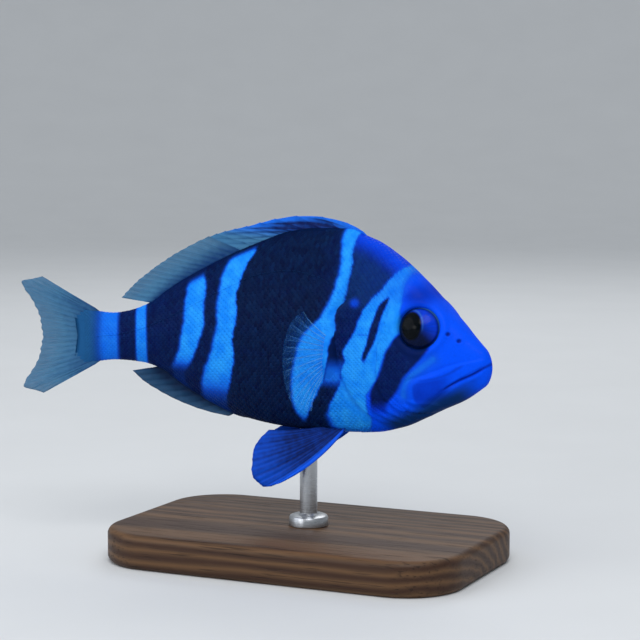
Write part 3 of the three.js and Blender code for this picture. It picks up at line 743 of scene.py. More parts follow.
def head_cover(station, height, share):
    """How far inside the scaled part of the cheek and gill cover a place is, in mm."""
    from_gill, gill_side, _ = nearest_on(GILL_OPENING, station, height)
    from_cheek, _, _ = nearest_on(CHEEK_EDGE, station, height)
    from_plate, _, along = nearest_on(JAW_PLATE, station, height)
    eye_off = np.hypot(station - EYE_STATION, height - EYE_HEIGHT)
    return np.minimum.reduce([
        np.where(gill_side < 0, from_gill - 0.7, -1), height + 12.5, 13.6 - height,
        np.where(height > 10, 3, from_cheek - 0.85), eye_off - 6.8, from_plate - mix(1.6, 3.9, along),
        station - mix(14.5, 18.0, ramp(height, -4, 2)),
    ])


def make_scales(name, side, run, part, spacing_at, cover):
    """Scales on one side. Their rows run between two stations, and this piece holds the part of
    them between two others."""
    places, faces = scale_shape()
    roots = scale_places(*run, spacing_at, side)
    height = body_point(roots[:, 0], roots[:, 1])[:, 2]
    inside = cover(roots[:, 0], height, back_share(roots[:, 1]))
    here = (inside > 0) & (roots[:, 0] >= part[0]) & (roots[:, 0] < part[1])
    roots, inside = roots[here], inside[here][:, None]
    station, loop = roots[:, :1], roots[:, 1:]
    spacing = spacing_at(station)
    jitter = RANDOM.normal(0, 1, (3, len(roots), 1))
    size = spacing * (1 + 0.03 * jitter[0])
    at_station = station + places[:, 0] * size
    per_loop = 0.5 * side_of(loop) / half_girth(station)
    at_loop = loop + (places[:, 1] + 0.05 * jitter[1] * places[:, 0]) * size * per_loop
    lift = places[:, 2] * np.minimum(spacing / FULL_SPACING, 1) * mix(0.45, 1, ramp(inside, 0, 2.5))
    straight = skin_point(at_station, at_loop, lift)
    at_height = body_point(at_station, at_loop)[..., 2]
    values = markings(at_station, at_height, side)
    # How much painted sheen each scale gets, different for each
    values["sheen_share"] = np.clip(0.5 + 0.16 * jitter[2] + 0 * at_loop, 0, 1)
    values["rim"] = np.broadcast_to(ramp(places[:, 0], 0.25, 0.62), at_loop.shape)
    piece = joined(name, faces, posed(straight), values)
    u = station / SHEATH_END + places[:, 0] * BAKE_PATCH
    v = loop + places[:, 1] * BAKE_PATCH
    coordinates = np.stack([u, v], axis=-1).reshape(-1, 2)
    corners = np.zeros(len(piece.data.loops), np.int64)
    piece.data.loops.foreach_get("vertex_index", corners)
    layer = piece.data.uv_layers.new(name="OFBake")
    layer.uv.foreach_set("vector", coordinates[corners].astype(np.float32).ravel())
    return piece


# Distance between scales by station, in mm
trunk_spacing = smooth_curve([
    (15, 1.15), (30, 1.25), (50, 1.32), (70, 1.2), (90, 0.98), (98, 0.85), (103, 0.7),
])
head_spacing = smooth_curve([(10, 0.85), (24, 0.9), (36, 1.0)])

# Height of the lateral line by station
side_line = smooth_curve([
    (34.5, 14.2), (40, 17.3), (48, 18.6), (56, 17.5), (64, 14.4), (72, 10.6), (80, 6.6), (86, 4.2),
    (92, 2.6), (98, 1.9),
])


SIDE_LINE_RUN = (35.2, 97)


def make_side_line():
    """The lateral line: a short raised tube on each scale that it crosses."""
    stations = [SIDE_LINE_RUN[0]]
    while stations[-1] < SIDE_LINE_RUN[1]:
        stations.append(stations[-1] + float(trunk_spacing(stations[-1])))
    root = np.array(stations)[:, None]
    ring, turn, faces = globe(8, 8)
    pieces = []
    for side in (LEFT, RIGHT):
        reach = np.cos(math.pi * ring) * 0.4 * trunk_spacing(root)
        thick = 0.17 * np.sin(math.pi * ring) ** 0.6
        station = root - reach + 0 * turn
        height = side_line(station)
        loop = loop_at_height(station, height, side)
        loop = loop + thick * np.cos(2 * math.pi * turn) * 0.5 * side / half_girth(station)
        lift = 0.1 + 0.75 * thick * np.sin(2 * math.pi * turn)
        pieces.append((skin_point(station, loop, lift), markings(station, height, side)))
    points = np.concatenate([posed(points) for points, _ in pieces])
    values = {key: np.concatenate([numbers[key] for _, numbers in pieces]) for key in pieces[0][1]}
    values["sheen_share"] = 0.8 + 0 * values["azure"]
    values["rim"] = 0 * values["azure"]
    return joined("side_line", faces, points, values)


# Fins. A fin is a dictionary of roots, tips and bows, one row for each ray.

# How deep the roots of the fins along the back and belly and of the side fins sit in the body
ROOT_DEPTH = 1.6
# Corners round a piece of a ray, and rings along it
RAY_AROUND, RAY_ROWS = 6, 10


def at(station, side, height):
    """Places on the straight fish, from a station, mm to its left and a height."""
    return stacked(-np.asarray(station, float), side, height)


def edge_rays(count, first, last, edge_height, inwards, tips):
    """Rays from an even row of roots along the back or belly to a curve of tips, which is given as
    (share of the rays, station, height)."""
    shares = np.linspace(0, 1, count)
    stations = mix(first, last, shares)
    tip_station = smooth_curve([(share, station) for share, station, _ in tips])(shares)
    tip_height = smooth_curve([(share, height) for share, _, height in tips])(shares)
    root = at(stations, 0, edge_height(stations) + inwards * ROOT_DEPTH)
    return {"root": root, "tip": at(tip_station, 0, tip_height), "bow": np.zeros((count, 3))}


def spiny_dorsal():
    """Ten spines, behind a low fold of skin that rises from the nape to the first."""
    fin = edge_rays(10, 32.6, 60, back_height, -1, [
        (0, 36.2, 29.3), (0.11, 42.6, 30.6), (0.22, 49.2, 30.7), (0.33, 54.5, 29.9), (0.56, 61.8, 28.0),
        (0.78, 67, 26.8), (1, 70.9, 25.6),
    ])
    fold = {"root": at(29.5, 0, 25), "tip": at(32.4, 0, 27.5), "bow": np.zeros(3)}
    return {key: np.concatenate([fold[key][None], rows]) for key, rows in fin.items()}


def soft_dorsal():
    """Fifteen soft rays, behind the last spine."""
    return edge_rays(15, 60.15, 82.5, back_height, -1, [
        (0, 70.95, 25.5), (0.2, 77.2, 22.4), (0.4, 81.8, 19.6), (0.6, 85.6, 16.9), (0.8, 89.2, 13.9),
        (1, 92, 10.9),
    ])


def anal():
    """Three spines and seven soft rays."""
    return edge_rays(10, 62.5, 80.5, belly_height, 1, [
        (0, 66, -16.0), (0.11, 69.8, -15.4), (0.25, 74.4, -14.3), (0.5, 81.1, -11.7), (0.75, 86.4, -8.8),
        (1, 89.5, -6.2),
    ])


def tail():
    """A shallow fork, its rays spread from a short upright root."""
    shares = np.linspace(-1, 1, 17)
    spread = np.abs(shares)
    root_half = 5.65
    tip_station = smooth_curve([
        (0, 111.6), (0.35, 112.4), (0.65, 114.6), (0.85, 116.6), (0.93, 115.6), (1, 111.5),
    ])(spread)
    tip_rise = smooth_curve([
        (0, 0), (0.35, 4.6), (0.65, 9.0), (0.85, 12.2), (0.93, 13.6), (1, 13.9),
    ])(spread)
    root = at(STANDARD_LENGTH - 1, 0, TAIL_MIDDLE - shares * root_half)
    tip = at(tip_station, 0, TAIL_MIDDLE - np.sign(shares) * tip_rise)
    return {"root": root, "tip": tip, "bow": at(0 * shares, 0.35 * np.cos(3 * shares), 0)}


def pectoral(side):
    """A fan that stands almost straight out from its pad."""
    count = 13
    shares = np.linspace(0, 1, count)
    out = math.radians(84)
    length = smooth_curve([(0, 12), (0.2, 16.5), (0.4, 17.5), (0.65, 16), (0.85, 12.5), (1, 9)])(shares)
    climb = np.radians(smooth_curve([(0, 33), (0.35, 5), (0.7, -25), (1, -52)])(shares))
    station = mix(36.6, 37.8, shares)
    height = mix(3.8, -3.4, shares)
    surface = body_point(station, loop_at_height(station, height, side))[:, 1]
    root = at(station, surface - side * ROOT_DEPTH, height)
    direction = np.stack([
        -math.cos(out) * np.cos(climb), side * math.sin(out) * np.cos(climb), np.sin(climb),
    ], axis=-1)
    tip = root + direction * (length + ROOT_DEPTH)[:, None]
    return {"root": root, "tip": tip, "bow": at(np.full(count, 1.1), 0, 0)}


def pelvic(side):
    """A belly fin: a spine and five rays in the even rows, with the odd rows to shape the skin
    between them. The right fin is fully open and the left one less."""
    shares = np.linspace(0, 1, 11)
    length = smooth_curve([(0, 20.7), (0.2, 24.8), (0.4, 25.6), (0.6, 24.1), (0.8, 22), (1, 18.2)])(shares)
    drops = smooth_curve([(0, 42), (0.2, 37.8), (0.4, 30.5), (0.6, 22.5), (0.8, 14.5), (1, 7)])(shares)
    splays = smooth_curve([(0, 12), (0.4, 12), (1, 8)])(shares)
    openness, least_drop = (1, 0) if side == RIGHT else (0.6, 3)
    root = at(34.9 + 1.6 * shares, side * (2.4 - shares), -15.8)
    drop, splay = np.radians(least_drop + drops * openness), np.radians(splays * openness)
    direction = np.stack([
        -np.cos(drop) * np.cos(splay), side * np.sin(splay), -np.sin(drop) * np.cos(splay),
    ], axis=-1)
    forward = 1 - shares
    bow = at(-0.9 * forward, side * 0.5, -0.4 - 0.7 * forward)
    return {"root": root, "tip": root + direction * length[:, None], "bow": bow}


def across_rays(places, index):
    """A smooth path through one place of every ray, which passes a fraction of a ray evenly."""
    padded = np.concatenate([2 * places[:1] - places[1:2], places, 2 * places[-1:] - places[-2:-1]])
    i = np.clip(np.floor(index).astype(int), 0, len(places) - 2)
    t = (index - i)[..., None]
    a, b, c, d = (padded[i + step] for step in range(4))
    return b + 0.5 * t * (c - a + t * (2 * a - 5 * b + 4 * c - d + t * (3 * (b - c) + d - a)))


def fin_point(fin, index, share):
    """A point of a fin's middle sheet: index counts rays, share runs from root (0) to tip (1)."""
    share = np.asarray(share)[..., None]
    root, tip, bow = (across_rays(fin[key], index) for key in ("root", "tip", "bow"))
    return mix(root, tip, share) + bow * 4 * share * (1 - share)


def fin_normal(fin, index, share):
    along = fin_point(fin, index, share + 0.02) - fin_point(fin, index, share - 0.02)
    last = len(fin["root"]) - 1
    low, high = np.clip(index - 0.2, 0, last), np.clip(index + 0.2, 0, last)
    return unit(np.cross(fin_point(fin, high, share) - fin_point(fin, low, share), along))


def make_rays(name, fin, parts, values):
    """Ray pieces as tapered rods in the fin's sheet. A part is (index from, index to, share from,
    share to, radius from, radius to, 1 where jointed)."""
    ring, turn, faces = globe(RAY_AROUND, RAY_ROWS)
    part = np.array(parts)[:, :, None]
    even = ring[None, :]
    index = np.clip(mix(part[:, 0], part[:, 1], ramp(even, 0, 1)), 0, len(fin["root"]) - 1)
    share = mix(part[:, 2], part[:, 3], even)
    joints = 1 - 0.12 * (np.round(even * RAY_ROWS) % 2) * part[:, 6]
    radius = mix(part[:, 4], part[:, 5], even) * joints * np.minimum(np.sin(math.pi * even) * 6, 1)
    centre = fin_point(fin, index, share)
    normal = fin_normal(fin, index, share)
    along = unit(fin_point(fin, index, share + 0.02) - fin_point(fin, index, share - 0.02))
    beside = np.cross(along, normal)
    angle = 2 * math.pi * turn[None, :, None]
    points = centre + radius[..., None] * (np.cos(angle) * normal + np.sin(angle) * beside)
    marks = {key: value(index, share) for key, value in values.items()}
    return joined(name, faces, posed(points), marks)


def spine_parts(indices, radius, tip_radius=0.07):
    return [(i, i, 0, 1, radius, tip_radius, 0) for i in indices]


def branched_parts(indices, radius, spread=0.34):
    """A soft ray: a jointed trunk that forks twice on its way to the margin."""
    parts = []
    for i in indices:
        parts.append((i, i, 0, 0.46, radius, radius * 0.72, 1))
        for half in (-0.5, 0.5):
            fork = i + half * spread
            parts.append((i, fork, 0.42, 0.76, radius * 0.62, radius * 0.5, 1))
            for quarter in (-0.5, 0.5):
                twig = fork + quarter * spread * 0.6
                parts.append((fork, twig, 0.73, 0.985, radius * 0.45, radius * 0.22, 1))
    return parts


def make_membrane(name, fin, edge, values, thick=0.16, sag=0.12, per_ray=6, rows=18):
    """The thin skin between the rays. edge gives how far out it reaches, by index."""
    count = len(fin["root"]) - 1
    u, v, faces = sheet(count * per_ray, rows)
    index = u * count
    share = v * edge(index)
    pleat = np.sin(math.pi * (index % 1)) * ramp(share, 0.1, 0.5)
    wave = sag * pleat * (1 + 0.5 * ripple(index * 1.7 + 5 * share, 1))
    points = fin_point(fin, index, share) + fin_normal(fin, index, share) * wave[:, None]
    marks = {key: value(index, share) for key, value in values.items()}
    piece = finished(name, posed(points), faces, marks, turned_out=False)
    wall = piece.modifiers.new("thickness", "SOLIDIFY")
    wall.thickness = thick * MM
    wall.offset = 0
    wall.use_even_offset = True
    return piece


def even_edge(reach, scallop):
    """An edge that hollows a little between the rays."""
    def edge(index):
        hollow = scallop * np.sin(math.pi * (index % 1)) ** 2
        return reach - hollow + 0.006 * ripple(index * 2.3, 3)

    return edge


def spiny_edge(index):
    """Each spine's point stands free, and the skin behind it slopes down to the next spine."""
    return 0.97 - 0.024 * (index % 1) ** 0.8 + 0.005 * ripple(index * 2.9, 4)


# Eyes


def make_eye(name, side):
    """An eyeball with a raised cornea, its pupil set a little to the rear."""
    centre, forwards, up, out = EYE_AXES[side]
    ring, turn, faces = globe(72, 56)
    polar, angle = math.pi * ring, 2 * math.pi * turn
    off = np.sin(polar)
    ahead, high = off * np.cos(angle), off * np.sin(angle)
    deep = np.cos(polar)
    front = deep > 0
    rise = 0.16 * swell(off, 0.5) - 0.09 * swell(off - 0.93, 0.045)
    deep = np.where(front, deep + rise, deep)
    points = centre + np.stack([
        ahead * EYE_HALF_LENGTH, high * EYE_HALF_HEIGHT, deep * EYE_HALF_DEPTH,
    ], axis=-1) @ np.stack([forwards, up, out])
    pupil_off = np.hypot((ahead + 0.27) / 0.5, (high - 0.08) / 0.67)
    pupil = np.where(front, 1 - ramp(pupil_off, 0.88, 1.04), 0)
    facing = ramp(ahead + 0.3 * high, -0.1, 0.5)
    inner_ring = 0.5 * swell(pupil_off - 1.1, 0.06) * front * ramp(ahead + 0.6 * high, 0.05, 0.5)
    limbus = swell(off - 0.94, 0.025) * front * (0.1 + 0.5 * facing)
    blue = ramp(0.9 * ahead + 0.75 * high, -0.12, 0.75) * (1 - ramp(off, 0.8, 0.95)) * (1 - pupil)
    streaks = 0.88 + 0.08 * np.sin(angle * 31 + 3 * np.sin(angle * 7)) + 0.04 * np.sin(angle * 83)
    values = {"pupil": pupil, "blue": blue * streaks, "pale": np.maximum(inner_ring, limbus)}
    return finished(name, posed(points), faces, values)


# Stand

BASE_LENGTH, BASE_WIDTH, BASE_THICK = 86, 54, 8
BASE_CORNER, BASE_EDGE = 13.6, 1.6


def climb_of(edge):
    """How far an edge climbs from one end to the other."""
    return abs(edge.verts[0].co.z - edge.verts[1].co.z)


def make_base():
    """A flat board with rounded corners and eased edges."""
    shape = bmesh.new()
    bmesh.ops.create_cube(shape, size=1)
    size = Vector((BASE_LENGTH, BASE_WIDTH, BASE_THICK)) * MM
    bmesh.ops.scale(shape, vec=size, verts=shape.verts)
    bmesh.ops.translate(shape, vec=(0, 0, size.z / 2), verts=shape.verts)
    bevel = {"affect": "EDGES", "profile": 0.5, "material": -1}
    upright = [edge for edge in shape.edges if climb_of(edge) > 0.5 * size.z]
    bmesh.ops.bevel(shape, geom=upright, offset=BASE_CORNER * MM, segments=24, **bevel)
    rims = [
        edge for edge in shape.edges
        if climb_of(edge) < 1e-6 and any(abs(face.normal.z) < 0.5 for face in edge.link_faces)
    ]
    bmesh.ops.bevel(shape, geom=rims, offset=BASE_EDGE * MM, segments=6, **bevel)
    return shaped("display_base", shape)


def shaped(name, shape, sharp=math.radians(35)):
    """A piece from a bmesh, smooth except where faces meet at more than the sharp angle."""
    bmesh.ops.remove_doubles(shape, verts=shape.verts, dist=1e-6)
    bmesh.ops.recalc_face_normals(shape, faces=shape.faces)
    mesh = bpy.data.meshes.new(name)
    shape.to_mesh(mesh)
    shape.free()
    mesh.shade_smooth()
    mesh.set_sharp_from_angle(angle=sharp)
    return linked(name, mesh)


def spun(profile, steps):
    """A bmesh turned round the upright axis from (radius, height) corners in metres."""
    shape = bmesh.new()
    corners = [shape.verts.new((radius, 0, height)) for radius, height in profile]
    edges = [shape.edges.new(pair) for pair in zip(corners, corners[1:])]
    bmesh.ops.spin(
        shape, geom=corners + edges, cent=(0, 0, 0), axis=(0, 0, 1), angle=2 * math.pi, steps=steps,
        use_merge=True,
    )
    return shape


def make_rod():
    """A turned steel rod with a stepped foot, spun round the stand's own axis."""
    radius, foot, foot_thick, chamfer = 2.0, 4.5, 2.5, 0.8
    bottom = BASE_THICK + 0.02
    top = SNOUT_HEIGHT + float(belly_height(ROD_STATION)) + 0.25
    profile = [
        (0, bottom), (foot - 0.15, bottom), (foot, bottom + 0.15), (foot, bottom + foot_thick - chamfer),
        (foot - 0.25, bottom + foot_thick - 0.25), (foot - chamfer, bottom + foot_thick),
        (radius + 0.35, bottom + foot_thick), (radius, bottom + foot_thick + 0.35), (radius, top), (0, top),
    ]
    return shaped("display_rod", spun([(r * MM, z * MM) for r, z in profile], 72))


# Materials


def linear(hex_colour):
    """An sRGB hex colour as linear red, green, blue and alpha."""
    channels = [int(hex_colour[i:i + 2], 16) / 255 for i in (1, 3, 5)]
    return [c / 12.92 if c <= 0.04045 else ((c + 0.055) / 1.055) ** 2.4 for c in channels] + [1.0]


def add(tree, kind, inputs, out=0, steps=(), **settings):
    """Adds a node with its settings and links, and gives its output out. inputs are numbers, hex
    colours or other nodes' outputs, by the socket's name or number. steps are the places and hex
    colours of a colour ramp."""
    node = tree.nodes.new(kind)
    for key, value in settings.items():
        setattr(node, key, value)
    if steps:
        elements = node.color_ramp.elements
        while len(elements) < len(steps):
            elements.new(0.5)
        for element, (position, hex_colour) in zip(elements, steps):
            element.position = position
            element.color = linear(hex_colour)
    for key, value in inputs.items():
        if isinstance(value, bpy.types.NodeSocket):
            tree.links.new(value, node.inputs[key])
        else:
            node.inputs[key].default_value = linear(value) if isinstance(value, str) else value
    return node.outputs[out]


def material(name, constants):
    """A material with one shader, its constants set on the shader's own sockets."""
    made = bpy.data.materials.new(name)
    made.use_nodes = True
    tree = made.node_tree
    tree.nodes.clear()
    surface = add(tree, "ShaderNodeBsdfPrincipled", constants)
    output = tree.nodes.new("ShaderNodeOutputMaterial")
    tree.links.new(surface, output.inputs["Surface"])
    return made, tree, surface.node


def link_to(shader, tree, outputs):
    """Links nodes' outputs to the shader's sockets, by their names."""
    for socket, output in outputs.items():
        tree.links.new(output, shader.inputs[socket])


def wet_fish_skin():
    """Live fish skin, a clear wet layer over pigment: deep even colour with a soft sheen, part of it a
    painted sheen in the colour. Cobalt ground, near-black indigo where dark cells are dense, azure where
    silvery cells show through."""
    made, tree, shader = material("wet_fish_skin", {
        "IOR": 1.38, "Specular IOR Level": 0.045, "Coat Weight": 0.015, "Coat Roughness": 0.14,
    })
    spot = add(tree, "ShaderNodeTexCoord", {}, "Object")
    indigo, azure, slate, haze, sheen_share, rim = (
        add(tree, "ShaderNodeAttribute", {}, "Fac", attribute_name=key)
        for key in ("indigo", "azure", "slate", "haze", "sheen_share", "rim")
    )
    # Blotches, flecks, uneven wetness and fine grain, by their size in mm and their detail
    blotch, fleck, film, grain = (
        add(tree, "ShaderNodeTexNoise", {"Vector": spot, "Scale": 1 / (size * MM), "Detail": detail})
        for size, detail in ((2.6, 4), (0.5, 2), (1.1, 2), (0.35, 3))
    )
    mottle, paler, cobalt, light, speck, sheen, shade, rough = (
        add(tree, "ShaderNodeMapRange", dict(enumerate(numbers))) for numbers in (
            (blotch, 0.3, 0.7, -0.035, 0.035), (blotch, 0.35, 0.65, 0, 1), (azure, 0, 0.55, 0, 1),
            (azure, 0.35, 1, 0, 1), (fleck, 0.35, 0.75, 0, 0.1), (sheen_share, 0.2, 1, 0, 0.03),
            (rim, 0, 1, 0, 0.08), (film, 0.3, 0.7, 0.44, 0.56),
        )
    )
    dark = add(tree, "ShaderNodeMath", {0: indigo, 1: mottle}, operation="ADD")
    colour = add(tree, "ShaderNodeValToRGB", {"Fac": dark}, steps=(
        (0.0, "#004DF2"), (0.3, "#0134C2"), (0.55, "#02208C"), (0.78, "#021450"), (1.0, "#010E32"),
    ))
    stripe = add(tree, "ShaderNodeMix", {0: paler, 6: "#1080EC", 7: "#2496F2"}, 2, data_type="RGBA")
    # sheen is a painted sheen: a faint light-blue lift, its own share on each scale and stronger on the
    # side line
    for share, over, how in (
        (cobalt, "#0A50D2", "MIX"), (light, stripe, "MIX"), (slate, "#0B2F66", "MIX"),
        (haze, "#1B5080", "MIX"), (speck, "#2050A0", "MULTIPLY"), (sheen, "#3C9CFF", "SCREEN"),
        (shade, "#2458B0", "MULTIPLY"),
    ):
        layers = {0: share, 6: colour, 7: over}
        colour = add(tree, "ShaderNodeMix", layers, 2, data_type="RGBA", blend_type=how)
    relief = add(tree, "ShaderNodeBump", {"Height": grain, "Distance": 0.04 * MM, "Strength": 0.4})
    link_to(shader, tree, {"Base Color": colour, "Roughness": rough, "Normal": relief})
    return made


def fin_skin(name, bright, dark, clear=None, faded=None, roughness=0.5):
    """Thin wet fin skin: bright where it is clear, darker where pigment gathers. clear is how much
    of it covers what lies behind, at its edge and at its root. faded is a duller colour that the
    "fade" attribute brings in."""
    made, tree, shader = material(name, {
        "IOR": 1.38, "Specular IOR Level": 0.1, "Coat Weight": 0.02, "Coat Roughness": 0.2,
    })
    spot = add(tree, "ShaderNodeTexCoord", {}, "Object")
    cloud, film, grain = (
        add(tree, "ShaderNodeTexNoise", {"Vector": spot, "Scale": 1 / (size * MM), "Detail": detail})
        for size, detail in ((1.4, 3), (0.6, 2), (0.3, 2))
    )
    streak = add(tree, "ShaderNodeAttribute", {}, "Fac", attribute_name="streak")
    mottle = add(tree, "ShaderNodeMapRange", {0: cloud, 1: 0.3, 2: 0.7, 3: -0.1, 4: 0.1})
    pigment = add(tree, "ShaderNodeMath", {0: streak, 1: mottle}, operation="ADD", use_clamp=True)
    if faded:
        fade = add(tree, "ShaderNodeAttribute", {}, "Fac", attribute_name="fade")
        bright, dark = (
            add(tree, "ShaderNodeMix", {0: fade, 6: full, 7: dull}, 2, data_type="RGBA")
            for full, dull in zip((bright, dark), faded)
        )
    colour = add(tree, "ShaderNodeMix", {0: pigment, 6: bright, 7: dark}, 2, data_type="RGBA")
    if clear:
        cover = add(tree, "ShaderNodeAttribute", {}, "Fac", attribute_name="cover")
        cover = add(tree, "ShaderNodeMapRange", {0: cover, 3: clear[0], 4: clear[1]})
        link_to(shader, tree, {"Alpha": cover})
    smooth, rough = roughness - 0.06, roughness + 0.08
    rough = add(tree, "ShaderNodeMapRange", {0: film, 1: 0.3, 2: 0.7, 3: smooth, 4: rough})
    relief = add(tree, "ShaderNodeBump", {"Height": grain, "Distance": 0.04 * MM, "Strength": 0.5})
    link_to(shader, tree, {"Base Color": colour, "Roughness": rough, "Normal": relief})
    return made


def wet_eye():
    """A living fish eye: a clear, very smooth cornea over a black pupil and a dark iris with a
    cobalt arc, so it carries sharp highlights."""
    made, tree, shader = material("wet_eye", {
        "Roughness": 0.18, "IOR": 1.376, "Specular IOR Level": 0.1, "Coat Weight": 0.035,
        "Coat Roughness": 0.05, "Coat IOR": 1.38,
    })
    spot = add(tree, "ShaderNodeTexCoord", {}, "Object")
    cloud = add(tree, "ShaderNodeTexNoise", {"Vector": spot, "Scale": 1 / (0.35 * MM), "Detail": 4})
    share = add(tree, "ShaderNodeMapRange", {0: cloud, 1: 0.3, 2: 0.7})
    colour = add(tree, "ShaderNodeMix", {0: share, 6: "#010A24", 7: "#03123A"}, 2, data_type="RGBA")
    for key, over in (("blue", "#0538C8"), ("pale", "#3A74B0"), ("pupil", "#01050A")):
        share = add(tree, "ShaderNodeAttribute", {}, "Fac", attribute_name=key)
        colour = add(tree, "ShaderNodeMix", {0: share, 6: colour, 7: over}, 2, data_type="RGBA")
    link_to(shader, tree, {"Base Color": colour})
    return made


YEAR_RING = 2.5


def oiled_walnut():
    """Walnut planed along the grain and oiled: dark brown with darker year rings about 2.5 mm
    apart, fine open pores and a satin surface."""
    made, tree, shader = material("oiled_walnut", {
        "IOR": 1.5, "Specular IOR Level": 0.25, "Coat Weight": 0.03, "Coat Roughness": 0.3,
    })
    spot = add(tree, "ShaderNodeTexCoord", {}, "Object")
    board = add(tree, "ShaderNodeMapping", {
        "Vector": spot, "Scale": (0.12, 1.0, 1.0), "Rotation": (0.12, 0.03, 0.05),
        "Location": (0.0, 0.012, 0.03),
    })
    sway = add(tree, "ShaderNodeTexNoise", {"Vector": board, "Scale": 1 / (16 * MM), "Detail": 3})
    shift = add(tree, "ShaderNodeVectorMath", {0: sway, 1: (0.0, 0.009, 0.006)}, operation="MULTIPLY")
    bent = add(tree, "ShaderNodeVectorMath", {0: board, 1: shift}, operation="ADD")
    # The wave texture turns through 20 radians in one unit
    rings = add(tree, "ShaderNodeTexWave", {
        "Vector": bent, "Scale": 2 * math.pi / (YEAR_RING * MM) / 20, "Distortion": 2.2,
        "Detail": 3.0, "Detail Scale": 1.5,
    }, "Fac", wave_type="RINGS", rings_direction="X")
    wood = add(tree, "ShaderNodeValToRGB", {"Fac": rings}, steps=(
        (0.0, "#382215"), (0.45, "#46301F"), (0.8, "#523A25"), (1.0, "#5E432B"),
    ))
    fibre = add(tree, "ShaderNodeMapping", {"Vector": spot, "Scale": (0.04, 1.0, 1.0)})
    pores = add(tree, "ShaderNodeTexNoise", {"Vector": fibre, "Scale": 1 / (0.45 * MM), "Detail": 2})
    pores = add(tree, "ShaderNodeMapRange", {0: pores, 1: 0.56, 2: 0.68})
    stain = add(tree, "ShaderNodeMapRange", {0: pores, 3: 0, 4: 0.6})
    rough = add(tree, "ShaderNodeMapRange", {0: pores, 3: 0.5, 4: 0.65})
    colour = add(tree, "ShaderNodeMix", {0: stain, 6: wood, 7: "#160C07"}, 2, data_type="RGBA")
    hollows = {"Height": pores, "Distance": 0.08 * MM, "Strength": 0.5}
    relief = add(tree, "ShaderNodeBump", hollows, invert=True)
    link_to(shader, tree, {"Base Color": colour, "Roughness": rough, "Normal": relief})
    return made


def brushed_steel():
    """Stainless steel bar turned and brushed round its axis: fine rings that blur reflections."""
    made, tree, shader = material("brushed_steel", {"Metallic": 1.0})
    spot = add(tree, "ShaderNodeTexCoord", {}, "Object")
    squeezed = add(tree, "ShaderNodeMapping", {"Vector": spot, "Scale": (0.02, 0.02, 1.0)})
    lines = add(tree, "ShaderNodeTexNoise", {"Vector": squeezed, "Scale": 1 / (0.12 * MM), "Detail": 3})
    colour = add(tree, "ShaderNodeMix", {0: lines, 6: "#9A9DA2", 7: "#C4C7CB"}, 2, data_type="RGBA")
    rough = add(tree, "ShaderNodeMapRange", {0: lines, 1: 0.3, 2: 0.7, 3: 0.24, 4: 0.4})
    relief = add(tree, "ShaderNodeBump", {"Height": lines, "Distance": 0.02 * MM, "Strength": 0.4})
    link_to(shader, tree, {"Base Color": colour, "Roughness": rough, "Normal": relief})
    return made


def studio_paper():
    """Matt background paper, very slightly uneven in tone."""
    made, tree, shader = material("studio_paper", {"Roughness": 1.0, "Specular IOR Level": 0.0})
    spot = add(tree, "ShaderNodeTexCoord", {}, "Object")
    cloud = add(tree, "ShaderNodeTexNoise", {"Vector": spot, "Scale": 1 / (40 * MM), "Detail": 2})
    colour = add(tree, "ShaderNodeMix", {0: cloud, 6: "#CDCFD1", 7: "#D2D4D6"}, 2, data_type="RGBA")
    link_to(shader, tree, {"Base Color": colour})
    return made


# Studio


def make_floor():
    """A round paper floor that sweeps up into a wall on every side."""
    flat, sweep, wall = 1.1, 1.0, 1.4
    steps = 16
    profile = [(0, 0), (flat, 0)]
    for step in range(1, steps + 1):
        angle = math.radians(90 * step / steps)
        profile.append((flat + sweep * math.sin(angle), sweep * (1 - math.cos(angle))))
    profile.append((flat + sweep, wall))
    floor = shaped("floor", spun(profile, 96), math.radians(80))
    floor.data.materials.append(studio_paper())


# Height that the lights point at
FISH_HEIGHT = 50


def make_light(name, place_mm, size_mm, watts, colour):
    """A soft round light that points at the fish."""
    lamp = bpy.data.lights.new(name, "AREA")
    lamp.shape = "DISK"
    lamp.size = size_mm * MM
    lamp.energy = watts
    lamp.color = linear(colour)[:3]
    light = linked(name, lamp)
    light.location = Vector(place_mm) * MM
    from_fish = light.location - Vector((0, 0, FISH_HEIGHT * MM))
    light.rotation_euler = from_fish.to_track_quat("Z", "Y").to_euler()


def make_studio():
    """The paper floor, four soft lights round the fish and an even grey-white sky."""
    make_floor()
    make_light("key", (260, -520, 700), 560, 4.0, "#FFFFFF")
    make_light("fill", (-560, -420, 300), 600, 1.2, "#F4F8FF")
    make_light("front", (-230, -570, 190), 260, 0.6, "#FFFFFF")
    make_light("back", (-160, 560, 560), 460, 1.1, "#FFFFFF")
    world = bpy.data.worlds.new("studio")
    world.use_nodes = True
    world.node_tree.nodes["Background"].inputs["Color"].default_value = linear("#E6EAEE")
    world.node_tree.nodes["Background"].inputs["Strength"].default_value = 0.85
    bpy.context.scene.world = world
    bpy.context.scene.view_settings.view_transform = "Standard"


make_studio()

# The dressed part


def dress(piece, finish, slot, *nodes):
    """Gives a piece its finish, puts it under the root body and hides the solids that it replaces. slot is
    not used.
    """
    piece.data.materials.append(finish)
    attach(piece, "root")
    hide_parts(*nodes)


skin_finish = wet_fish_skin()
dress(make_skin(), skin_finish, "fish_skin", "head", "torso", "tail_stalk")
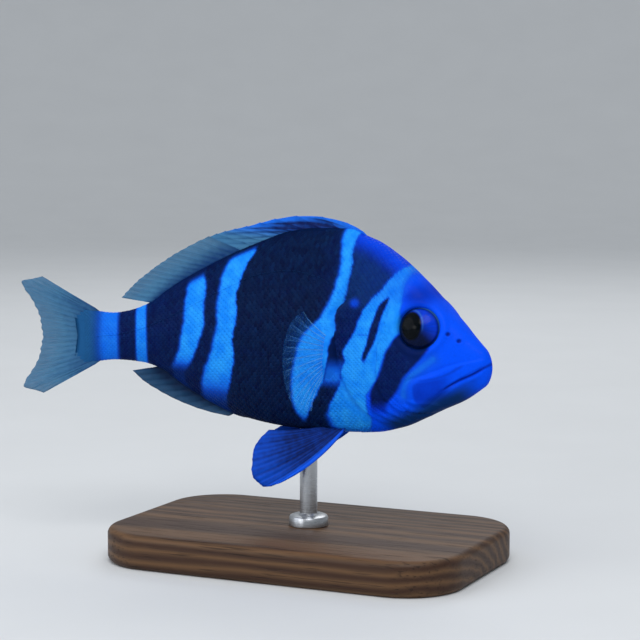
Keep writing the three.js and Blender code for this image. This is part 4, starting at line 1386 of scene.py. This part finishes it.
# The trunk's scales are in two pieces a side, so that neither is too heavy
TRUNK_RUN, TRUNK_SPLIT = (17.5, 100.2), 62
TRUNK_PARTS = (
    ("shoulder", (0, TRUNK_SPLIT), ("head", "torso")),
    ("flank", (TRUNK_SPLIT, 110), ("torso", "tail_stalk")),
)
CHEEK_RUN = (12, 36)
for word, side in SIDES:
    for region, part, nodes in TRUNK_PARTS:
        scales = make_scales(f"{region}_scales_{word}", side, TRUNK_RUN, part, trunk_spacing, trunk_cover)
        dress(scales, skin_finish, "fish_skin", *nodes)
    scales = make_scales(f"cheek_scales_{word}", side, CHEEK_RUN, CHEEK_RUN, head_spacing, head_cover)
    dress(scales, skin_finish, "fish_skin", "head")
dress(make_side_line(), skin_finish, "fish_skin", "torso", "tail_stalk")


def near_ray(index):
    """1 on a ray, 0 halfway between two."""
    return np.abs(2 * (index % 1) - 1)


def fine_streaks(index, rate, seed):
    """Narrow uneven streaks along the rays, 0 to 1."""
    waves = np.sin(index * rate + seed) + 0.6 * np.sin(index * rate * 2.3 + 2 * seed)
    return np.clip(0.5 + 0.45 * waves, 0, 1)


def spiny_streak(index, share):
    """Bright along the edge and to the rear, indigo at the foot of the first spines, with long
    dark streaks at a low slope where the folded spines overlap."""
    foot = (1 - ramp(share, 0.6, 0.9)) * (1 - ramp(index, 4.6, 7)) * ramp(index, 1.2, 2.4)
    edge = ramp(share, 0.8, 0.93)
    slope = share - 0.17 * index + 0.03 * np.sin(1.7 * index)
    folds = np.clip(np.sin(2 * math.pi * slope / 0.31) + 0.35 * np.sin(2 * math.pi * slope / 0.13), 0, 1)
    behind_spine = np.exp(-((index + 0.04) % 1) / 0.16)
    root = 0.4 * (1 - ramp(share, 0.06, 0.3)) * ramp(index, 0.8, 2)
    marks = (0.62 * folds * (1 - edge) + 0.22 * behind_spine) * (1 - 0.55 * ramp(index, 7, 10))
    return np.clip(0.06 + 0.8 * foot + marks * ramp(index, 1, 2.2) + root, 0, 1)


def spiny_fade(index, share):
    """Duller towards the rear, at the foot before the edge."""
    return ramp(index + 2.2 * (1 - share), 5.2, 9.6)


def belly_streak(index, share):
    """Indigo by the body, cobalt towards the edge, with a bright band along the leading edge."""
    body = 0.42 + 0.46 * (1 - ramp(share - 0.02 * index, 0.38, 0.86))
    strand = 0.2 * near_ray(index / 2) ** 3 + 0.2 * (fine_streaks(index, 9.5, 2.0) - 0.5)
    leading = (1 - ramp(index, 0.8, 2.2)) * ramp(share, 0.01, 0.1)
    return np.clip((body + strand) * (1 - leading), 0, 1)


def soft_dorsal_streak(index, share):
    """The indigo at the root reaches less far out towards the rear."""
    return np.clip(1 - ramp(share, 0.18, 0.95 - 0.035 * index) + 0.15 * near_ray(index) ** 3, 0, 1)


def clear_streak(index, share):
    """Indigo at the root, clear grey-blue beyond it."""
    return np.clip(1 - ramp(share, 0.28, 0.92) + 0.2 * near_ray(index) ** 3, 0, 1)


def tail_streak(index, share):
    """Paler at the root than the other clear fins."""
    return np.clip(0.64 * (1 - ramp(share, 0.12, 0.75)) + 0.15 * near_ray(index) ** 3, 0, 1)


def clear_cover(index, share):
    """Clearer towards the edge."""
    return 1 - ramp(share, 0.35, 0.95)


def side_streak(index, share):
    """Fine darker streaks that begin a little way out from the root."""
    return 0.25 + 0.5 * fine_streaks(index, 12.6, 0.0) * ramp(share, 0.05, 0.2)


def side_cover(index, share):
    """Strands that thin out towards the edge, over a denser root."""
    strand = near_ray(index) ** 2 * 0.5 + 0.5 * fine_streaks(index, 25, 1.0)
    strand = strand * (1 - 0.85 * ramp(share, 0.45, 0.85))
    return np.clip(strand + 0.5 * (1 - ramp(share, 0.05, 0.25)), 0, 1)


SPINY_MARKS = {"streak": spiny_streak, "fade": spiny_fade}
SOFT_MARKS = {"streak": soft_dorsal_streak, "cover": clear_cover}
TAIL_MARKS = {"streak": tail_streak, "cover": clear_cover}
CLEAR_MARKS = {"streak": clear_streak, "cover": clear_cover}
SIDE_MARKS = {"streak": side_streak, "cover": side_cover}
BELLY_MARKS = {"streak": belly_streak}

REAR_TEAL = ("#3C7098", "#0C3868")
blue_fin = fin_skin("indigo_fin_skin", "#1668DC", "#04174F", faded=REAR_TEAL)
blue_rays = fin_skin("indigo_fin_rays", "#1254C4", "#04174F", faded=REAR_TEAL)
belly_fin = fin_skin("belly_fin_skin", "#0A54DC", "#011A56")
belly_rays = fin_skin("belly_fin_rays", "#0C50D4", "#011A56")
clear_fin = fin_skin("clear_fin_skin", "#417499", "#0A3468", (0.7, 0.95))
clear_rays = fin_skin("clear_fin_rays", "#467AA0", "#0A3468", (0.74, 0.95))
anal_fin = fin_skin("anal_fin_skin", "#1B4468", "#051B3A", (0.84, 1.0))
anal_rays = fin_skin("anal_fin_rays", "#20496C", "#051B3A", (0.86, 1.0))
side_fin = fin_skin("side_fin_skin", "#2C92F6", "#1A76E4", (0.03, 0.34), roughness=0.6)
side_rays = fin_skin("side_fin_rays", "#86CCFF", "#5AB0FA", (0.1, 0.42), roughness=0.6)


def dress_fin(names, fin, edge, parts, marks, finishes, slot, node, **membrane):
    """Makes the two pieces of a fin, its skin and its rays, each with its own finish."""
    dress(make_membrane(names[0], fin, edge, marks, **membrane), finishes[0], slot, node)
    dress(make_rays(names[1], fin, parts, marks), finishes[1], slot, node)


dress_fin(
    ("spiny_dorsal_skin", "dorsal_spines"), spiny_dorsal(), spiny_edge, spine_parts(range(1, 11), 0.26),
    SPINY_MARKS, (blue_fin, blue_rays), "blue_fin", "dorsal_fin_spiny", thick=0.22, per_ray=12, rows=28,
)
dress_fin(
    ("soft_dorsal_skin", "soft_dorsal_rays"), soft_dorsal(), even_edge(0.985, 0.012),
    branched_parts(range(15), 0.17), SOFT_MARKS, (clear_fin, clear_rays), "clear_fin", "dorsal_fin_soft",
)
anal_parts = spine_parts(range(3), 0.3) + branched_parts(range(3, 10), 0.19)
dress_fin(
    ("anal_skin", "anal_rays"), anal(), even_edge(0.985, 0.014), anal_parts, CLEAR_MARKS,
    (anal_fin, anal_rays), "clear_fin", "anal_fin",
)
outer_rays = (0, 0.3, 0.6, 15.4, 15.7, 16)
tail_parts = spine_parts(outer_rays, 0.26) + branched_parts(range(1, 16), 0.2, 0.5)
dress_fin(
    ("tail_skin", "tail_rays"), tail(), even_edge(0.985, 0.014), tail_parts, TAIL_MARKS,
    (clear_fin, clear_rays), "clear_fin", "tail_fin", rows=22,
)

eye_finish = wet_eye()
side_parts = spine_parts((0,), 0.16) + branched_parts(range(1, 13), 0.13)
belly_parts = spine_parts((0,), 0.34) + branched_parts(range(2, 11, 2), 0.2, 1.0)
for word, side in SIDES:
    dress_fin(
        (f"side_fin_skin_{word}", f"side_fin_rays_{word}"), pectoral(side), even_edge(0.97, 0.01),
        side_parts, SIDE_MARKS, (side_fin, side_rays), "clear_fin", f"pectoral_fin_{word}", thick=0.12,
    )
    dress_fin(
        (f"belly_fin_skin_{word}", f"belly_fin_rays_{word}"), pelvic(side), even_edge(0.985, 0.004),
        belly_parts, BELLY_MARKS, (belly_fin, belly_rays), "blue_fin", f"pelvic_fin_{word}",
        thick=0.2, sag=0.1, per_ray=7, rows=24,
    )
    dress(make_eye(f"eyeball_{word}", side), eye_finish, "eye", f"eye_{word}")

dress(make_base(), oiled_walnut(), "stand_wood", "stand_base")
dress(make_rod(), brushed_steel(), "stand_steel", "stand_rod")
